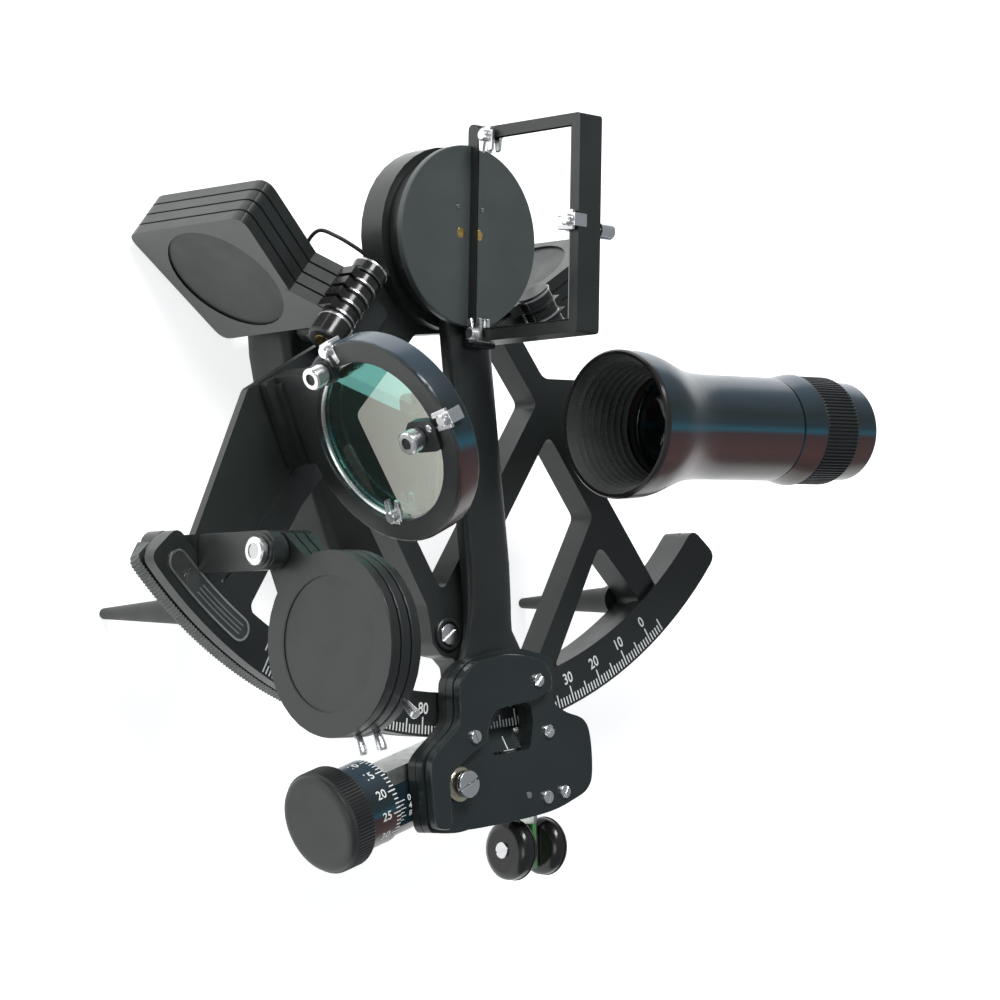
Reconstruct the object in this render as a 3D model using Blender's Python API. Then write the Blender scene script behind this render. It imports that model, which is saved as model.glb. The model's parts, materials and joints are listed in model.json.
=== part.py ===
"""Nautical sextant, face up on its three feet: one closed solid for each separate piece.

Lengths are in millimetres until a solid becomes an object, which is in metres. The solids are
drawn round the index pivot: +X towards the eyepiece along the telescope, +Y from the arc to the
pivot, +Z out of the face, and Z = 0 at the graduated face of the limb.
"""
import math

import bmesh
import bpy
from mathutils import Matrix, Vector
from mathutils.geometry import tessellate_polygon

# Where the index pivot stands in the world, so that the whole part is centred over the origin.
PIVOT_X = -13.652
PIVOT_Y = 86.923
FOOT_DEPTH = 60.0

GAP = 0.3                 # between two pieces that touch
RUNNING = 0.06            # radial clearance of a bearing
ROUND = 36                # sides of a large round piece
SMALL_ROUND = 20          # sides of a small one

# Limb and frame
ARC_RADIUS = 162.5
LIMB_INNER = 148.0
LIMB_ENDS = (-50.4, 50.6)  # degrees from -Y towards +X
LIMB_DEPTH = 13.0
RACK_INNER = 155.1
RACK_RADIUS = 162.3
RACK_TOP = -6.6
GROOVE_RADIUS = 160.5
LATTICE_TOP = -2.0
LATTICE_BOTTOM = -12.0
BOSS_RADIUS = 30.0
BOSS_TOP = 3.0
BOSS_BOTTOM = -7.0
SCREW_LUG = (-34.4, -28.5)
LOWER_BOSS = (-0.6, -129.0)

# Index arm
ARM_ANGLE = 6.0           # degrees from -Y towards +X at rest
SHAFT_RADIUS = 4.0
HEAD_RADIUS = 27.0
ARM_PLATE = (1.3, 4.6)
HOUSING_PLATE = (4.9, 8.0)
HOUSING_COVER = (8.3, 12.0)
DISC = (9.6, 12.6)

# Optics
MIRROR_ANGLE = -3.3       # the way the back of the index mirror faces
MIRROR_SIZE = (70.0, 51.0, 9.5)
MIRROR_BOTTOM = 12.0
MIRROR_FOOT = (-36.5, 11.1, 36.5, 15.6)
LIGHT_HEIGHT = 37.0
RING_CENTRE = (-61.0, -67.7, 40.5)
RING_ANGLE = 23.0
RING_RADIUS = 33.3
HORIZON_SCREWS = ((24.3, -13.3), (1.0, 19.8))
SCOPE_AXIS = (0.0, -61.7, LIGHT_HEIGHT)

# Shades
INDEX_SHADE_ANGLE = 48.8
INDEX_SHADE_PIVOT = (19.5, 5.0)      # across the light path, height
INDEX_SHADE_CENTRE = (42.6, -29.0)
INDEX_SHADE_PLATE = ((66.8, -56.5), (66.8, 1.0), (18.0, -8.0), (17.2, -54.0))
INDEX_SHADE_GLASS = 21.0
INDEX_SHADE_FIRST = -56.0
INDEX_SHADE_PITCH = 4.5
HORIZON_SHADE_PIVOT = (-103.2, 30.5)
HORIZON_SHADE_CENTRE = (-131.8, 52.9)
HORIZON_SHADE_RADIUS = 28.1
HORIZON_SHADE_GLASS = 20.3
HORIZON_SHADE_FIRST = -100.0
HORIZON_SHADE_PITCH = 4.1
SHADE_PIN_RADIUS = 2.5

# Micrometer
WORM_ANGLE = 16.53
KNOB_FACE = (-52.2, -189.1, -9.5)
KNOB_RADIUS = 17.0
DRUM_RADIUS = 14.0
WORM_DISTANCE = 76.3      # knob face to the middle of the worm
CARRIER_PIVOT = (-6.9, -177.4)

SATIN_BLACK = ((0.028, 0.031, 0.031, 1.0), 0.42, 0.0)
GLOSS_BLACK = ((0.012, 0.013, 0.015, 1.0), 0.18, 0.0)
RUBBER_BLACK = ((0.025, 0.025, 0.025, 1.0), 0.75, 0.0)
CHROME = ((0.72, 0.72, 0.72, 1.0), 0.12, 1.0)
ALLOY = ((0.55, 0.56, 0.55, 1.0), 0.35, 1.0)
BRASS = ((0.72, 0.55, 0.24, 1.0), 0.3, 1.0)
SILVERED = ((0.85, 0.87, 0.88, 1.0), 0.03, 1.0)
COATED_GLASS = ((0.45, 0.72, 0.68, 1.0), 0.05, 0.0)
SHADE_GLASS = ((0.05, 0.06, 0.06, 1.0), 0.08, 0.0)
LENS_GLASS = ((0.75, 0.85, 0.85, 1.0), 0.02, 0.0)


def clear_scene():
    for item in list(bpy.data.objects):
        bpy.data.objects.remove(item, do_unlink=True)


# ---------------------------------------------------------------- outlines

def circle(x, y, radius, sides=SMALL_ROUND):
    turn = 2 * math.pi / sides
    return [(x + radius * math.cos(i * turn), y + radius * math.sin(i * turn)) for i in range(sides)]


def rectangle(x0, y0, x1, y1):
    return [(x0, y0), (x1, y0), (x1, y1), (x0, y1)]


def arc(radius, start, end, steps):
    """Points about the pivot, by degrees from -Y towards +X."""
    return [polar(radius, start + (end - start) * i / steps) for i in range(steps + 1)]


def polar(radius, degrees):
    a = math.radians(degrees)
    return (radius * math.sin(a), -radius * math.cos(a))


def arc_band(inner, outer):
    """The outline of a band along the limb, with its four corners rounded."""
    start, end = LIMB_ENDS
    near, far = start + 3.4, end - 3.4
    return rounded([polar(outer, start), *arc(outer, near, far, 44), polar(outer, end),
                    polar(inner, end), *arc(inner, far, near, 44), polar(inner, start)], 4)


def curve_point(a, b, c, d, t):
    """The point at t between b and c on the smooth curve through four points."""
    a, b, c, d = (Vector(p) for p in (a, b, c, d))
    return 0.5 * (2 * b + (c - a) * t + (2 * a - 5 * b + 4 * c - d) * t ** 2 + (3 * b - a - 3 * c + d) * t ** 3)


def smooth_loop(points, steps=3):
    """A closed curve through the points of an outline."""
    result = []
    for i in range(len(points)):
        near = [points[(i + k) % len(points)] for k in (-1, 0, 1, 2)]
        result += [tuple(curve_point(*near, k / steps)) for k in range(steps)]
    return result


def rounded(points, radius, steps=4):
    """Round each corner of an outline, by less where its sides are short."""
    result = []
    for i, point in enumerate(points):
        here = Vector(point)
        before = Vector(points[i - 1]) - here
        after = Vector(points[(i + 1) % len(points)]) - here
        angle = before.angle(after)
        if angle > math.radians(172):
            result.append(point)
            continue
        reach = min(radius / math.tan(angle / 2), 0.45 * before.length, 0.45 * after.length)
        first = here + before.normalized() * reach
        last = here + after.normalized() * reach
        for k in range(steps + 1):
            t = k / steps
            curve = first * (1 - t) ** 2 + here * 2 * t * (1 - t) + last * t ** 2
            result.append((curve.x, curve.y))
    return result


def turned(points, degrees):
    a = math.radians(degrees)
    return [(x * math.cos(a) - y * math.sin(a), x * math.sin(a) + y * math.cos(a)) for x, y in points]


# ---------------------------------------------------------------- solids

def prism(outline, low, high, holes=()):
    """A flat outline with holes, from Z = low to Z = high."""
    loops = [outline, *holes]
    bm = bmesh.new()
    bottom = [[bm.verts.new((x, y, low)) for x, y in loop] for loop in loops]
    top = [[bm.verts.new((x, y, high)) for x, y in loop] for loop in loops]
    for lower, upper in zip(bottom, top):
        for i in range(len(lower)):
            bm.faces.new((lower[i - 1], lower[i], upper[i], upper[i - 1]))
    if holes:
        flat_bottom = [v for loop in bottom for v in loop]
        flat_top = [v for loop in top for v in loop]
        for triangle in tessellate_polygon([[Vector((x, y, 0)) for x, y in loop] for loop in loops]):
            bm.faces.new([flat_bottom[i] for i in triangle])
            bm.faces.new([flat_top[i] for i in triangle])
    else:
        bm.faces.new(bottom[0])
        bm.faces.new(top[0])
    return face_out(bm)


def lathe(profile, sides=SMALL_ROUND, ring=False):
    """Turn (height, radius) points about Z. A ring's profile closes on itself."""
    bm = bmesh.new()
    rows = []
    for height, radius in profile:
        if radius == 0:
            rows.append([bm.verts.new((0, 0, height))])
        else:
            rows.append([bm.verts.new((x, y, height)) for x, y in circle(0, 0, radius, sides)])
    pairs = list(zip(rows, rows[1:]))
    if ring:
        pairs.append((rows[-1], rows[0]))
    else:
        for row in (rows[0], rows[-1]):
            if len(row) > 1:
                bm.faces.new(row)
    for lower, upper in pairs:
        for i in range(sides):
            corners = [lower[i - 1 if len(lower) > 1 else 0], lower[i if len(lower) > 1 else 0],
                       upper[i if len(upper) > 1 else 0], upper[i - 1 if len(upper) > 1 else 0]]
            bm.faces.new(list(dict.fromkeys(corners)))
    return face_out(bm)


def loft(sections):
    """Skin closed rings of points, each with the same count, and cap both ends."""
    bm = bmesh.new()
    rows = [[bm.verts.new(point) for point in section] for section in sections]
    for lower, upper in zip(rows, rows[1:]):
        for i in range(len(lower)):
            bm.faces.new((lower[i - 1], lower[i], upper[i], upper[i - 1]))
    bm.faces.new(rows[0])
    bm.faces.new(rows[-1])
    return face_out(bm)


def upright(origin, degrees):
    """Axes for a piece that faces sideways: Z along the given direction, Y straight up."""
    a = math.radians(degrees)
    facing = Vector((math.cos(a), math.sin(a), 0))
    across = Vector((-math.sin(a), math.cos(a), 0))
    axes = Matrix((across, Vector((0, 0, 1)), facing)).transposed().to_4x4()
    return Matrix.Translation(origin) @ axes


def face_out(bm):
    """Point every face of a closed body outwards."""
    bmesh.ops.recalc_face_normals(bm, faces=bm.faces)
    if bm.calc_volume(signed=True) < 0:
        bmesh.ops.reverse_faces(bm, faces=bm.faces)
    return bm


def moved(bm, matrix):
    bm.transform(matrix)
    return bm


def at(bm, x, y, z=0.0):
    return moved(bm, Matrix.Translation((x, y, z)))


def new_object(name, bm):
    mesh = bpy.data.meshes.new(name)
    bm.to_mesh(mesh)
    bm.free()
    item = bpy.data.objects.new(name, mesh)
    bpy.context.collection.objects.link(item)
    return item


def combine(solids, cuts=()):
    """Join solids into one body and cut others out of it."""
    target = new_object("work", solids[0])
    tools = []
    for operation, parts in (("UNION", solids[1:]), ("DIFFERENCE", cuts)):
        for part in parts:
            tool = new_object("tool", part)
            tools.append(tool)
            modifier = target.modifiers.new("join", "BOOLEAN")
            modifier.operation = operation
            modifier.solver = "EXACT"
            modifier.object = tool
    graph = bpy.context.evaluated_depsgraph_get()
    result = bmesh.new()
    result.from_mesh(target.evaluated_get(graph).to_mesh())
    for item in (target, *tools):
        bpy.data.objects.remove(item, do_unlink=True)
    bmesh.ops.remove_doubles(result, verts=result.verts, dist=0.002)
    bmesh.ops.dissolve_degenerate(result, edges=result.edges, dist=0.001)
    bmesh.ops.holes_fill(result, edges=[edge for edge in result.edges if edge.is_boundary], sides=4)
    return result


# ---------------------------------------------------------------- objects

def material(name, finish):
    colour, roughness, metallic = finish
    result = bpy.data.materials.new(name)
    result.use_nodes = True
    shader = result.node_tree.nodes["Principled BSDF"]
    shader.inputs["Base Color"].default_value = colour
    shader.inputs["Roughness"].default_value = roughness
    shader.inputs["Metallic"].default_value = metallic
    return result


def world(point):
    x, y, z = point
    return Vector((x + PIVOT_X, y + PIVOT_Y, z + FOOT_DEPTH)) / 1000


def node(name, bm, finish, axis_point=(0, 0, 0)):
    """Make the named object in metres, with its origin on its joint's axis."""
    bm.transform(Matrix.Translation(-Vector(axis_point)))
    bm.transform(Matrix.Scale(0.001, 4))
    item = new_object(name, face_out(bm))
    item.location = world(axis_point)
    item.data.materials.append(material(name, finish))
    item.data.shade_smooth()
    item.data.set_sharp_from_angle(angle=math.radians(35))
    return item


def cord(name, route, radius, finish):
    """A held cord: a bevelled poly curve through a smooth line drawn over the route."""
    points = []
    padded = [route[0], *route, route[-1]]
    steps = 5
    for a, b, c, d in zip(padded, padded[1:], padded[2:], padded[3:]):
        points += [curve_point(a, b, c, d, k / steps) for k in range(steps)]
    points.append(Vector(route[-1]))
    curve = bpy.data.curves.new(name, "CURVE")
    curve.dimensions = "3D"
    curve.bevel_depth = radius / 1000
    curve.bevel_resolution = 2
    curve.use_fill_caps = True
    spline = curve.splines.new("POLY")
    spline.points.add(len(points) - 1)
    for target, point in zip(spline.points, points):
        target.co = (*world(point), 1)
    curve.materials.append(material(name, finish))
    item = bpy.data.objects.new(name, curve)
    bpy.context.collection.objects.link(item)


# ---------------------------------------------------------------- frame

def build_frame():
    face = prism(arc_band(LIMB_INNER, ARC_RADIUS), -4.5, 0)
    groove = prism(arc_band(LIMB_INNER + 0.2, GROOVE_RADIUS), RACK_TOP + GAP, -4.4)
    wall = prism(arc_band(LIMB_INNER + 0.4, RACK_INNER - GAP), -LIMB_DEPTH, RACK_TOP + GAP + 0.1)

    inside = LIMB_INNER + 0.6     # openings run a little way under the limb
    under = LIMB_INNER + 4.0      # the lattice ends inside the limb
    outer = ([(24, -8), (36.3, -31.2), (46, -44), (88, -44), (88, -64), (60, -64), (95.1, -110.6)]
             + arc(under, 40.4, -40.0, 30)
             + [(-91, -108), (-50, -58), (-60, -42), (-44, -34.5), (-39, -24), (-28, -14), (-18, 10),
                (0, 20), (18, 10)])
    centre = [(-12, -31.5), (24.5, -29), (42.6, -52.4), (-2.5, -115.6), (-38, -58)]
    right = ([(47.7, -62.6), (67.7, -90)] + arc(inside, 14.2, 8.6, 3) + [(13, -133), (8.5, -117.5)])
    end = [(70.5, -99.5), *arc(inside, 37.0, 18.8, 8)]
    left = ([(-41, -66), (-9.5, -119.5), (-8, -126), (-7.2, -132), (-3.5, -136), (1.5, -136.8), (5, -140)]
            + arc(inside, 2.2, -33.5, 14) + [(-84, -119), (-62.3, -87.9)])
    lattice = prism(rounded(outer, 5), LATTICE_BOTTOM, LATTICE_TOP,
                    [rounded(hole, 3) for hole in (centre, right, end, left)])

    web = prism(rounded([(-36, -28), (-58.6, -39), (-83.1, -51.3), (-106, -98), (-109, -105),
                         (-98, -113), (-85, -104), (-50, -60)], 3), LATTICE_TOP - 3.2, LATTICE_TOP - 0.2)
    post_pad = prism([(-108, -97), (-98, -97), (-98, -110), (-106, -109)], LATTICE_TOP - 3, -0.1)
    boss = at(lathe([(BOSS_BOTTOM, BOSS_RADIUS), (BOSS_TOP, BOSS_RADIUS)], ROUND), 0, 0)
    bore = at(lathe([(LATTICE_BOTTOM - 5, 7.3), (BOSS_TOP + 5, 7.3)], SMALL_ROUND), 0, 0)
    screw_holes = [at(lathe([(-20, 2.6), (6, 2.6)]), *spot) for spot in (SCREW_LUG, LOWER_BOSS)]
    node("frame", combine([lattice, face, groove, wall, web, post_pad, boss],
                         [bore, *screw_holes]), SATIN_BLACK)

    node("toothed_rack", prism(arc_band(RACK_INNER, RACK_RADIUS), -LIMB_DEPTH, RACK_TOP), ALLOY)
    bush = lathe([(-6.8, 7.0), (2.8, 7.0), (2.8, SHAFT_RADIUS + RUNNING), (-6.8, SHAFT_RADIUS + RUNNING)],
                 ring=True)
    node("pivot_bush", bush, BRASS)


def build_legs():
    root = -LIMB_DEPTH - GAP
    for name, x, y, top in (("leg_left", -97, -120, root), ("leg_right", 89, -118, root),
                            ("leg_top", -14, -24, LATTICE_BOTTOM - GAP)):
        profile = [(-FOOT_DEPTH, 1.4), (-FOOT_DEPTH + 0.4, 1.7), (top - 3, 4.6), (top, 5.2)]
        node(name, at(lathe(profile), x, y), SATIN_BLACK)


def build_handle():
    """The grip hangs under the frame on two posts, and holds the lamp's battery."""
    tilt = 18.6
    middle = (-17.5, -78.7, -42.2)
    axes = Matrix.Translation(middle) @ Matrix.Rotation(math.radians(tilt), 4, "Z")
    sections = []
    for along, width, depth in ((-61, 21, 20), (-59, 24, 23), (-32, 25, 23.4), (0, 28, 23.4),
                                (32, 24, 23.4), (48, 20, 23), (57, 16, 22), (59, 13, 18)):
        half_w, half_d = width / 2, depth / 2
        ring = rounded([(-half_w, -half_d), (half_w, -half_d), (half_w, half_d), (-half_w, half_d)], 7, 3)
        sections.append([(x, along, z) for x, z in ring])
    bore = moved(lathe([(-8, 7.6), (70, 7.6)]), Matrix.Rotation(math.radians(90), 4, "X"))
    button_hole = at(moved(lathe([(0, 4.3), (20, 4.3)]), upright((0, 0, 0), 0)), 9, 35)
    node("handle_grip", moved(combine([loft(sections)], [bore, button_hole]), axes), RUBBER_BLACK)

    battery = lathe([(-7, 0), (-7, 7.2), (43, 7.2), (43, 0)])
    along_grip = axes @ Matrix.Rotation(math.radians(90), 4, "X")
    node("battery", moved(battery, along_grip), ALLOY)
    cap = lathe([(44, 0), (44, 7.5), (61.3, 7.5), (61.3, 9.4), (65, 9.4), (66, 8.4), (66, 0)])
    node("battery_cap", moved(cap, along_grip), SATIN_BLACK, (along_grip @ Vector((0, 0, 61)))[:])
    button = moved(lathe([(10.6, 0), (10.6, 4.0), (13.6, 4.0), (14.4, 3.2), (14.4, 0)]), upright((0, 35, 0), 0))
    node("light_button", moved(button, axes), RUBBER_BLACK, (axes @ Vector((12, 35, 0)))[:])
    for name, spot in (("handle_post_top", SCREW_LUG), ("handle_post_bottom", LOWER_BOSS)):
        post = lathe([(-30.1, 4.2), (-16, 4.6), (-14.5, 6.4), (LATTICE_BOTTOM - GAP, 6.4)])
        node(name, at(post, *spot), SATIN_BLACK)


# ---------------------------------------------------------------- index arm

def arm_outline():
    """The broad lower end of the index arm, under the housing plate, in the arm's own axes."""
    return smooth_loop([(-16, -137.5), (-5, -135.5), (5, -135.3), (14, -137.5), (22, -141), (22.8, -148),
                        (21, -154.4), (26, -158.8), (34, -162.5), (36.5, -168.5), (35.8, -180.5), (33, -185.5),
                        (27, -188), (13, -190.8), (-15, -191.3), (-35, -190.2), (-39.6, -188.6), (-40.3, -183),
                        (-40.3, -172), (-38.6, -165.4), (-26, -156.4), (-24, -147.4), (-22.4, -142)])


def cover_outline():
    """The cover over the housing plate: an arch that runs down its left side."""
    return smooth_loop([(1.1, -136.8), (-9.3, -136.7), (-16.7, -137.9), (-22.6, -142.4), (-23.8, -147.4),
                        (-25.9, -156.4), (-38.2, -165.6), (-39.9, -178.7), (-39.8, -186.5), (-38, -188.6),
                        (-33.2, -188.6), (-32.2, -181.8), (-31, -172.7), (-23.2, -167.6), (-14.4, -163.6),
                        (-12.8, -159.7), (-10.1, -155.4), (-6.2, -153.8), (8.5, -153.1), (13.8, -151.4),
                        (17.4, -150.2), (17.5, -144.7), (13.1, -139.9)])


def window():
    return rounded([(-9.5, -160.5), (-2.5, -153.8), (10.5, -153.8), (11, -160), (8.5, -169), (-9, -169)], 2.5)


def to_arm(bm):
    return moved(bm, Matrix.Rotation(math.radians(ARM_ANGLE), 4, "Z"))


def build_index_arm():
    sections = []
    for along, half, low, high in ((-8, 9.5, 3.5, 9.2), (-30, 9.5, 3.6, 9.2), (-34, 9.2, 3.2, 10.8),
                                   (-108, 9.2, 2.0, 9.4), (-122, 9.4, 1.7, 7.4), (-130, 10.4, 1.35, 4.7),
                                   (-134.4, 12.6, 1.35, 4.55), (-142, 16, 1.35, 4.55)):
        crown = high - low
        profile = [(-1, 0), (1, 0), (1, 0.3), (0.92, 0.62), (0.66, 0.88), (0.25, 1),
                   (-0.25, 1), (-0.66, 0.88), (-0.92, 0.62), (-1, 0.3)]
        sections.append([(half * x, along, low + crown * z) for x, z in profile])
    head = lathe([(BOSS_TOP + GAP, HEAD_RADIUS), (9.3, HEAD_RADIUS)], ROUND)
    flare = prism(arm_outline(), *ARM_PLATE)
    clearance = prism(window(), 0, 20)
    shaft_hole = lathe([(0, SHAFT_RADIUS + GAP), (20, SHAFT_RADIUS + GAP)])
    arm = combine([head, loft(sections), flare], [clearance, shaft_hole])
    node("index_arm", to_arm(arm), SATIN_BLACK)

    shaft = lathe([(-9.8, 0), (-9.8, 6.6), (-7.1, 6.6), (-7.1, SHAFT_RADIUS), (9.2, SHAFT_RADIUS), (9.2, 0)])
    node("pivot_shaft", shaft, ALLOY)
    disc = lathe([(DISC[0], 0), (DISC[0], 29.3), (DISC[0] + 0.4, 29.7), (DISC[1] - 0.4, 29.7),
                  (DISC[1], 29.3), (DISC[1], 0)], ROUND)
    slot = prism(rectangle(-40, MIRROR_FOOT[1] - GAP, 40, 20), -GAP - 0.3, MIRROR_SIZE[2] + GAP)
    disc = combine([disc], [moved(slot, upright((0, 0, 0), MIRROR_ANGLE))])
    node("index_disc", disc, SATIN_BLACK)


def build_index_mirror():
    length, height, depth = MIRROR_SIZE
    axes = upright((0, 0, 0), MIRROR_ANGLE)
    half = length / 2
    top = MIRROR_BOTTOM + height
    shell = prism(rounded(rectangle(-half, MIRROR_BOTTOM, half, top), 1.2, 2), -0.3, depth)
    pocket = prism(rectangle(-half + 3.8, MIRROR_BOTTOM + 3.8, half - 3.8, top - 3.8), -2, 3.4)
    foot = prism(rectangle(-14, DISC[1] + GAP, 14, DISC[1] + 4.5), depth - 2, depth + 6)
    base = prism(rounded(rectangle(*MIRROR_FOOT), 2), -0.25, depth - 0.05)
    screw_hole = at(lathe([(0, 1.9), (20, 1.9)]), -1.6, top - 1.9)
    mirror_frame = combine([shell, foot, base], [pocket, screw_hole])
    node("index_mirror_frame", moved(mirror_frame, axes), SATIN_BLACK)
    glass = prism(rectangle(-half + 4.1, MIRROR_BOTTOM + 4.1, half - 4.1, top - 4.1), 0, 3.0)
    node("index_mirror_glass", moved(glass, axes.copy()), SILVERED)
    screw = lathe([(4, 0), (4, 1.6), (depth + 0.4, 1.6), (depth + 0.4, 2.6), (depth + 6.2, 2.6),
                   (depth + 6.2, 0)])
    screw_axes = axes @ Matrix.Translation((-1.6, top - 1.9, 0))
    node("index_mirror_screw", moved(screw, screw_axes), CHROME, (screw_axes @ Vector((0, 0, depth)))[:])


def build_housing():
    big_hole = circle(-25.4, -175.7, 3.4)
    plate = prism(arm_outline(), *HOUSING_PLATE, [window(), big_hole])
    node("housing_plate", to_arm(plate), SATIN_BLACK)
    node("housing_cover", to_arm(prism(cover_outline(), *HOUSING_COVER)), SATIN_BLACK)
    sections = []
    for along, low, high in ((-161.2, 0.4, 0.8), (-163.6, 0.9, 1.9), (-168.4, 1.5, 4.4)):
        sections.append([(-8.4, along, low), (8.0, along, low), (8.0, along, high), (-8.4, along, high)])
    node("index_pointer", to_arm(loft(sections)), SATIN_BLACK)
    screw = lathe([(-5, 0), (-5, 3.0), (8.3, 3.0), (8.3, 5.2), (9.6, 5.2), (9.6, 4.4), (13.4, 4.4),
                   (14, 3.9), (14, 0)])
    x, y = turned([(-25.4, -175.7)], ARM_ANGLE)[0]
    arm_hole = at(lathe([(0, 3.3), (20, 3.3)]), x, y)
    arm = bpy.data.objects["index_arm"]
    cut_object(arm, arm_hole)
    node("carrier_pivot_screw", at(screw, x, y), CHROME)
    lever = prism(rectangle(28.8, -206.5, 30.4, -191.9), -7.5, 5.5)
    node("fixed_lever", lever, ALLOY)
    node("fixed_pad", pad(21.0, 28.5, (22, -200.3, -1), 10.0), GLOSS_BLACK)


def cut_object(item, cutter):
    """Cut one more solid out of an object that is already made."""
    bm = bmesh.new()
    bm.from_mesh(item.data)
    bm.transform(Matrix.Scale(1000, 4))
    cut = combine([bm], [cutter])
    cut.transform(Matrix.Scale(0.001, 4))
    cut.to_mesh(item.data)
    cut.free()


def pad(x0, x1, centre, radius):
    """A round finger pad with a softened rim, standing on the X axis."""
    profile = [(x0, 0), (x0, radius - 2), (x0 + 0.8, radius - 0.6), (x0 + 2.2, radius),
               (x1 - 1.6, radius), (x1 - 0.5, radius - 0.7), (x1, radius - 2), (x1, 0)]
    return moved(lathe(profile, 32), upright((0, centre[1], centre[2]), 0))


# ---------------------------------------------------------------- micrometer

def build_micrometer():
    axes = upright(KNOB_FACE, WORM_ANGLE)
    hinge = (*CARRIER_PIVOT, 0)
    block = rounded(rectangle(-11, -6.5, 8, 10.0), 2, 2)
    shelf = rectangle(4.4, -6.5, 9.5, 10.0)
    solids = [prism(block, 35, 60), prism(shelf, 25, 58), prism(rounded(rectangle(-12, -6.5, -7.6, 5.5), 1, 2), 55, 100),
              prism(rounded(rectangle(-12, -6.5, 2.9, 5.5), 1, 2), 90, 100)]
    tunnel = lathe([(20, 3.3), (86, 3.3), (86, 1.9), (120, 1.9)])
    body = moved(combine(solids, [tunnel]), axes)
    bearing = at(lathe([(-5.6, 3.0 + RUNNING), (5, 3.0 + RUNNING)]), *CARRIER_PIVOT)
    node("worm_carrier", combine([body], [bearing]), ALLOY, hinge)
    sleeve = lathe([(24.6, 13.3), (34.7, 13.3), (34.7, 3.4), (24.6, 3.4)], ROUND, ring=True)
    cuts = [prism(rectangle(4, -20, 20, 20), 20, 40), prism(rectangle(-20, 9.9, 20, 20), 19, 41)]
    node("index_sleeve", moved(combine([sleeve], cuts), axes), SATIN_BLACK, hinge)

    worm_half = 6.5
    low, high = WORM_DISTANCE - worm_half, WORM_DISTANCE + worm_half
    worm = lathe([(14, 0), (14, 2.98), (low, 2.98), (low + 1, 4.7), (high - 1, 4.7), (high, 2.98),
                  (85, 2.98), (85.6, 1.6), (101.5, 1.6), (101.5, 0)])
    node("worm_shaft", moved(worm, axes.copy()), ALLOY, KNOB_FACE)
    drum = lathe([(10.8, DRUM_RADIUS - 0.6), (11.4, DRUM_RADIUS), (23.6, DRUM_RADIUS), (24.2, DRUM_RADIUS - 0.6),
                  (24.2, 3.3), (10.8, 3.3)], ROUND, ring=True)
    node("micrometer_drum", moved(drum, axes.copy()), SATIN_BLACK, KNOB_FACE)
    knob = lathe([(0, 0), (0, KNOB_RADIUS - 2.4), (0.7, KNOB_RADIUS - 0.8), (2, KNOB_RADIUS),
                  (9.6, KNOB_RADIUS), (10.5, KNOB_RADIUS - 0.9), (10.5, 0)], ROUND)
    node("micrometer_knob", moved(knob, axes.copy()), RUBBER_BLACK, KNOB_FACE)

    lever = prism(rectangle(34.2, -206.5, 35.8, -176.3), -8.5, 0.6)
    node("release_lever", lever, ALLOY, hinge)
    node("release_pad", pad(36.1, 43.0, (38, -199.8, -1), 9.5), GLOSS_BLACK, hinge)


# ---------------------------------------------------------------- horizon mirror

def build_horizon_mirror():
    axes = upright(RING_CENTRE, RING_ANGLE)
    down = -RING_CENTRE[2]
    ring = lathe([(-6, RING_RADIUS - 0.6), (-5.4, RING_RADIUS), (2.4, RING_RADIUS), (3, RING_RADIUS - 0.6),
                  (3, 28.9), (-3, 28.9), (-3, 26.4), (-6, 26.4)], ROUND, ring=True)
    neck = prism([(-5.5, down - 1.6), (23.8, down - 1.6), (23.8, -21), (-15, -25), (-15, -28.2), (-5.5, -29.5)],
                 -5.2, 2.4)
    laid_flat = Matrix(((1, 0, 0, 0), (0, 0, 1, down), (0, -1, 0, 0), (0, 0, 0, 1)))
    flange = moved(prism(rounded(rectangle(-5.5, -3.5, 23.8, 9.5), 2, 2), -1.7, 1.6), laid_flat)
    step = moved(prism(rounded(rectangle(-5.4, -3.3, 22, 6.5), 1.5, 2), 1.5, 4.5), laid_flat)
    opening = lathe([(-6.6, 26.4), (-3, 26.4), (-3, 28.9), (6, 28.9)], ROUND)
    side, upper = HORIZON_SCREWS
    tab = at(lathe([(-7.4, 4.2), (-4.4, 4.2)]), *side)
    tongue = prism(rounded([(-4, 27.6), (-4, 17), (-1.5, 14.8), (3.5, 14.8), (6, 17), (6, 27.6)], 2, 2), -7.4, -4.4)
    holes = [at(lathe([(-9, 1.9), (0, 1.9)]), *spot) for spot in HORIZON_SCREWS]
    body = combine([ring, neck, flange, step], [opening])
    body = combine([body, tab, tongue], holes)
    node("horizon_mirror_frame", moved(body, axes), SATIN_BLACK)
    glass = lathe([(-2.7, 0), (-2.7, 28.6), (0.3, 28.6), (0.3, 0)], ROUND)
    node("horizon_glass", moved(glass, axes.copy()), COATED_GLASS)
    for name, spot in (("horizon_screw_side", side), ("horizon_screw_upper", upper)):
        screw = lathe([(-13.2, 0), (-13.2, 3.2), (-12.6, 3.7), (-7.7, 3.7), (-7.7, 1.6), (-3.1, 1.6), (-3.1, 0)])
        place = axes @ Matrix.Translation((*spot, 0))
        node(name, moved(screw, place), CHROME, (place @ Vector((0, 0, -8)))[:])


# ---------------------------------------------------------------- shades

def shade_arm(centre, pivot, wide, narrow):
    """The tapered arm from a shade's rim to its pivot."""
    c, p = Vector(centre), Vector(pivot)
    across = (p - c).normalized().orthogonal()
    return [tuple(c - across * wide), tuple(c + across * wide),
            tuple(p + across * narrow), tuple(p - across * narrow)]


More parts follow.
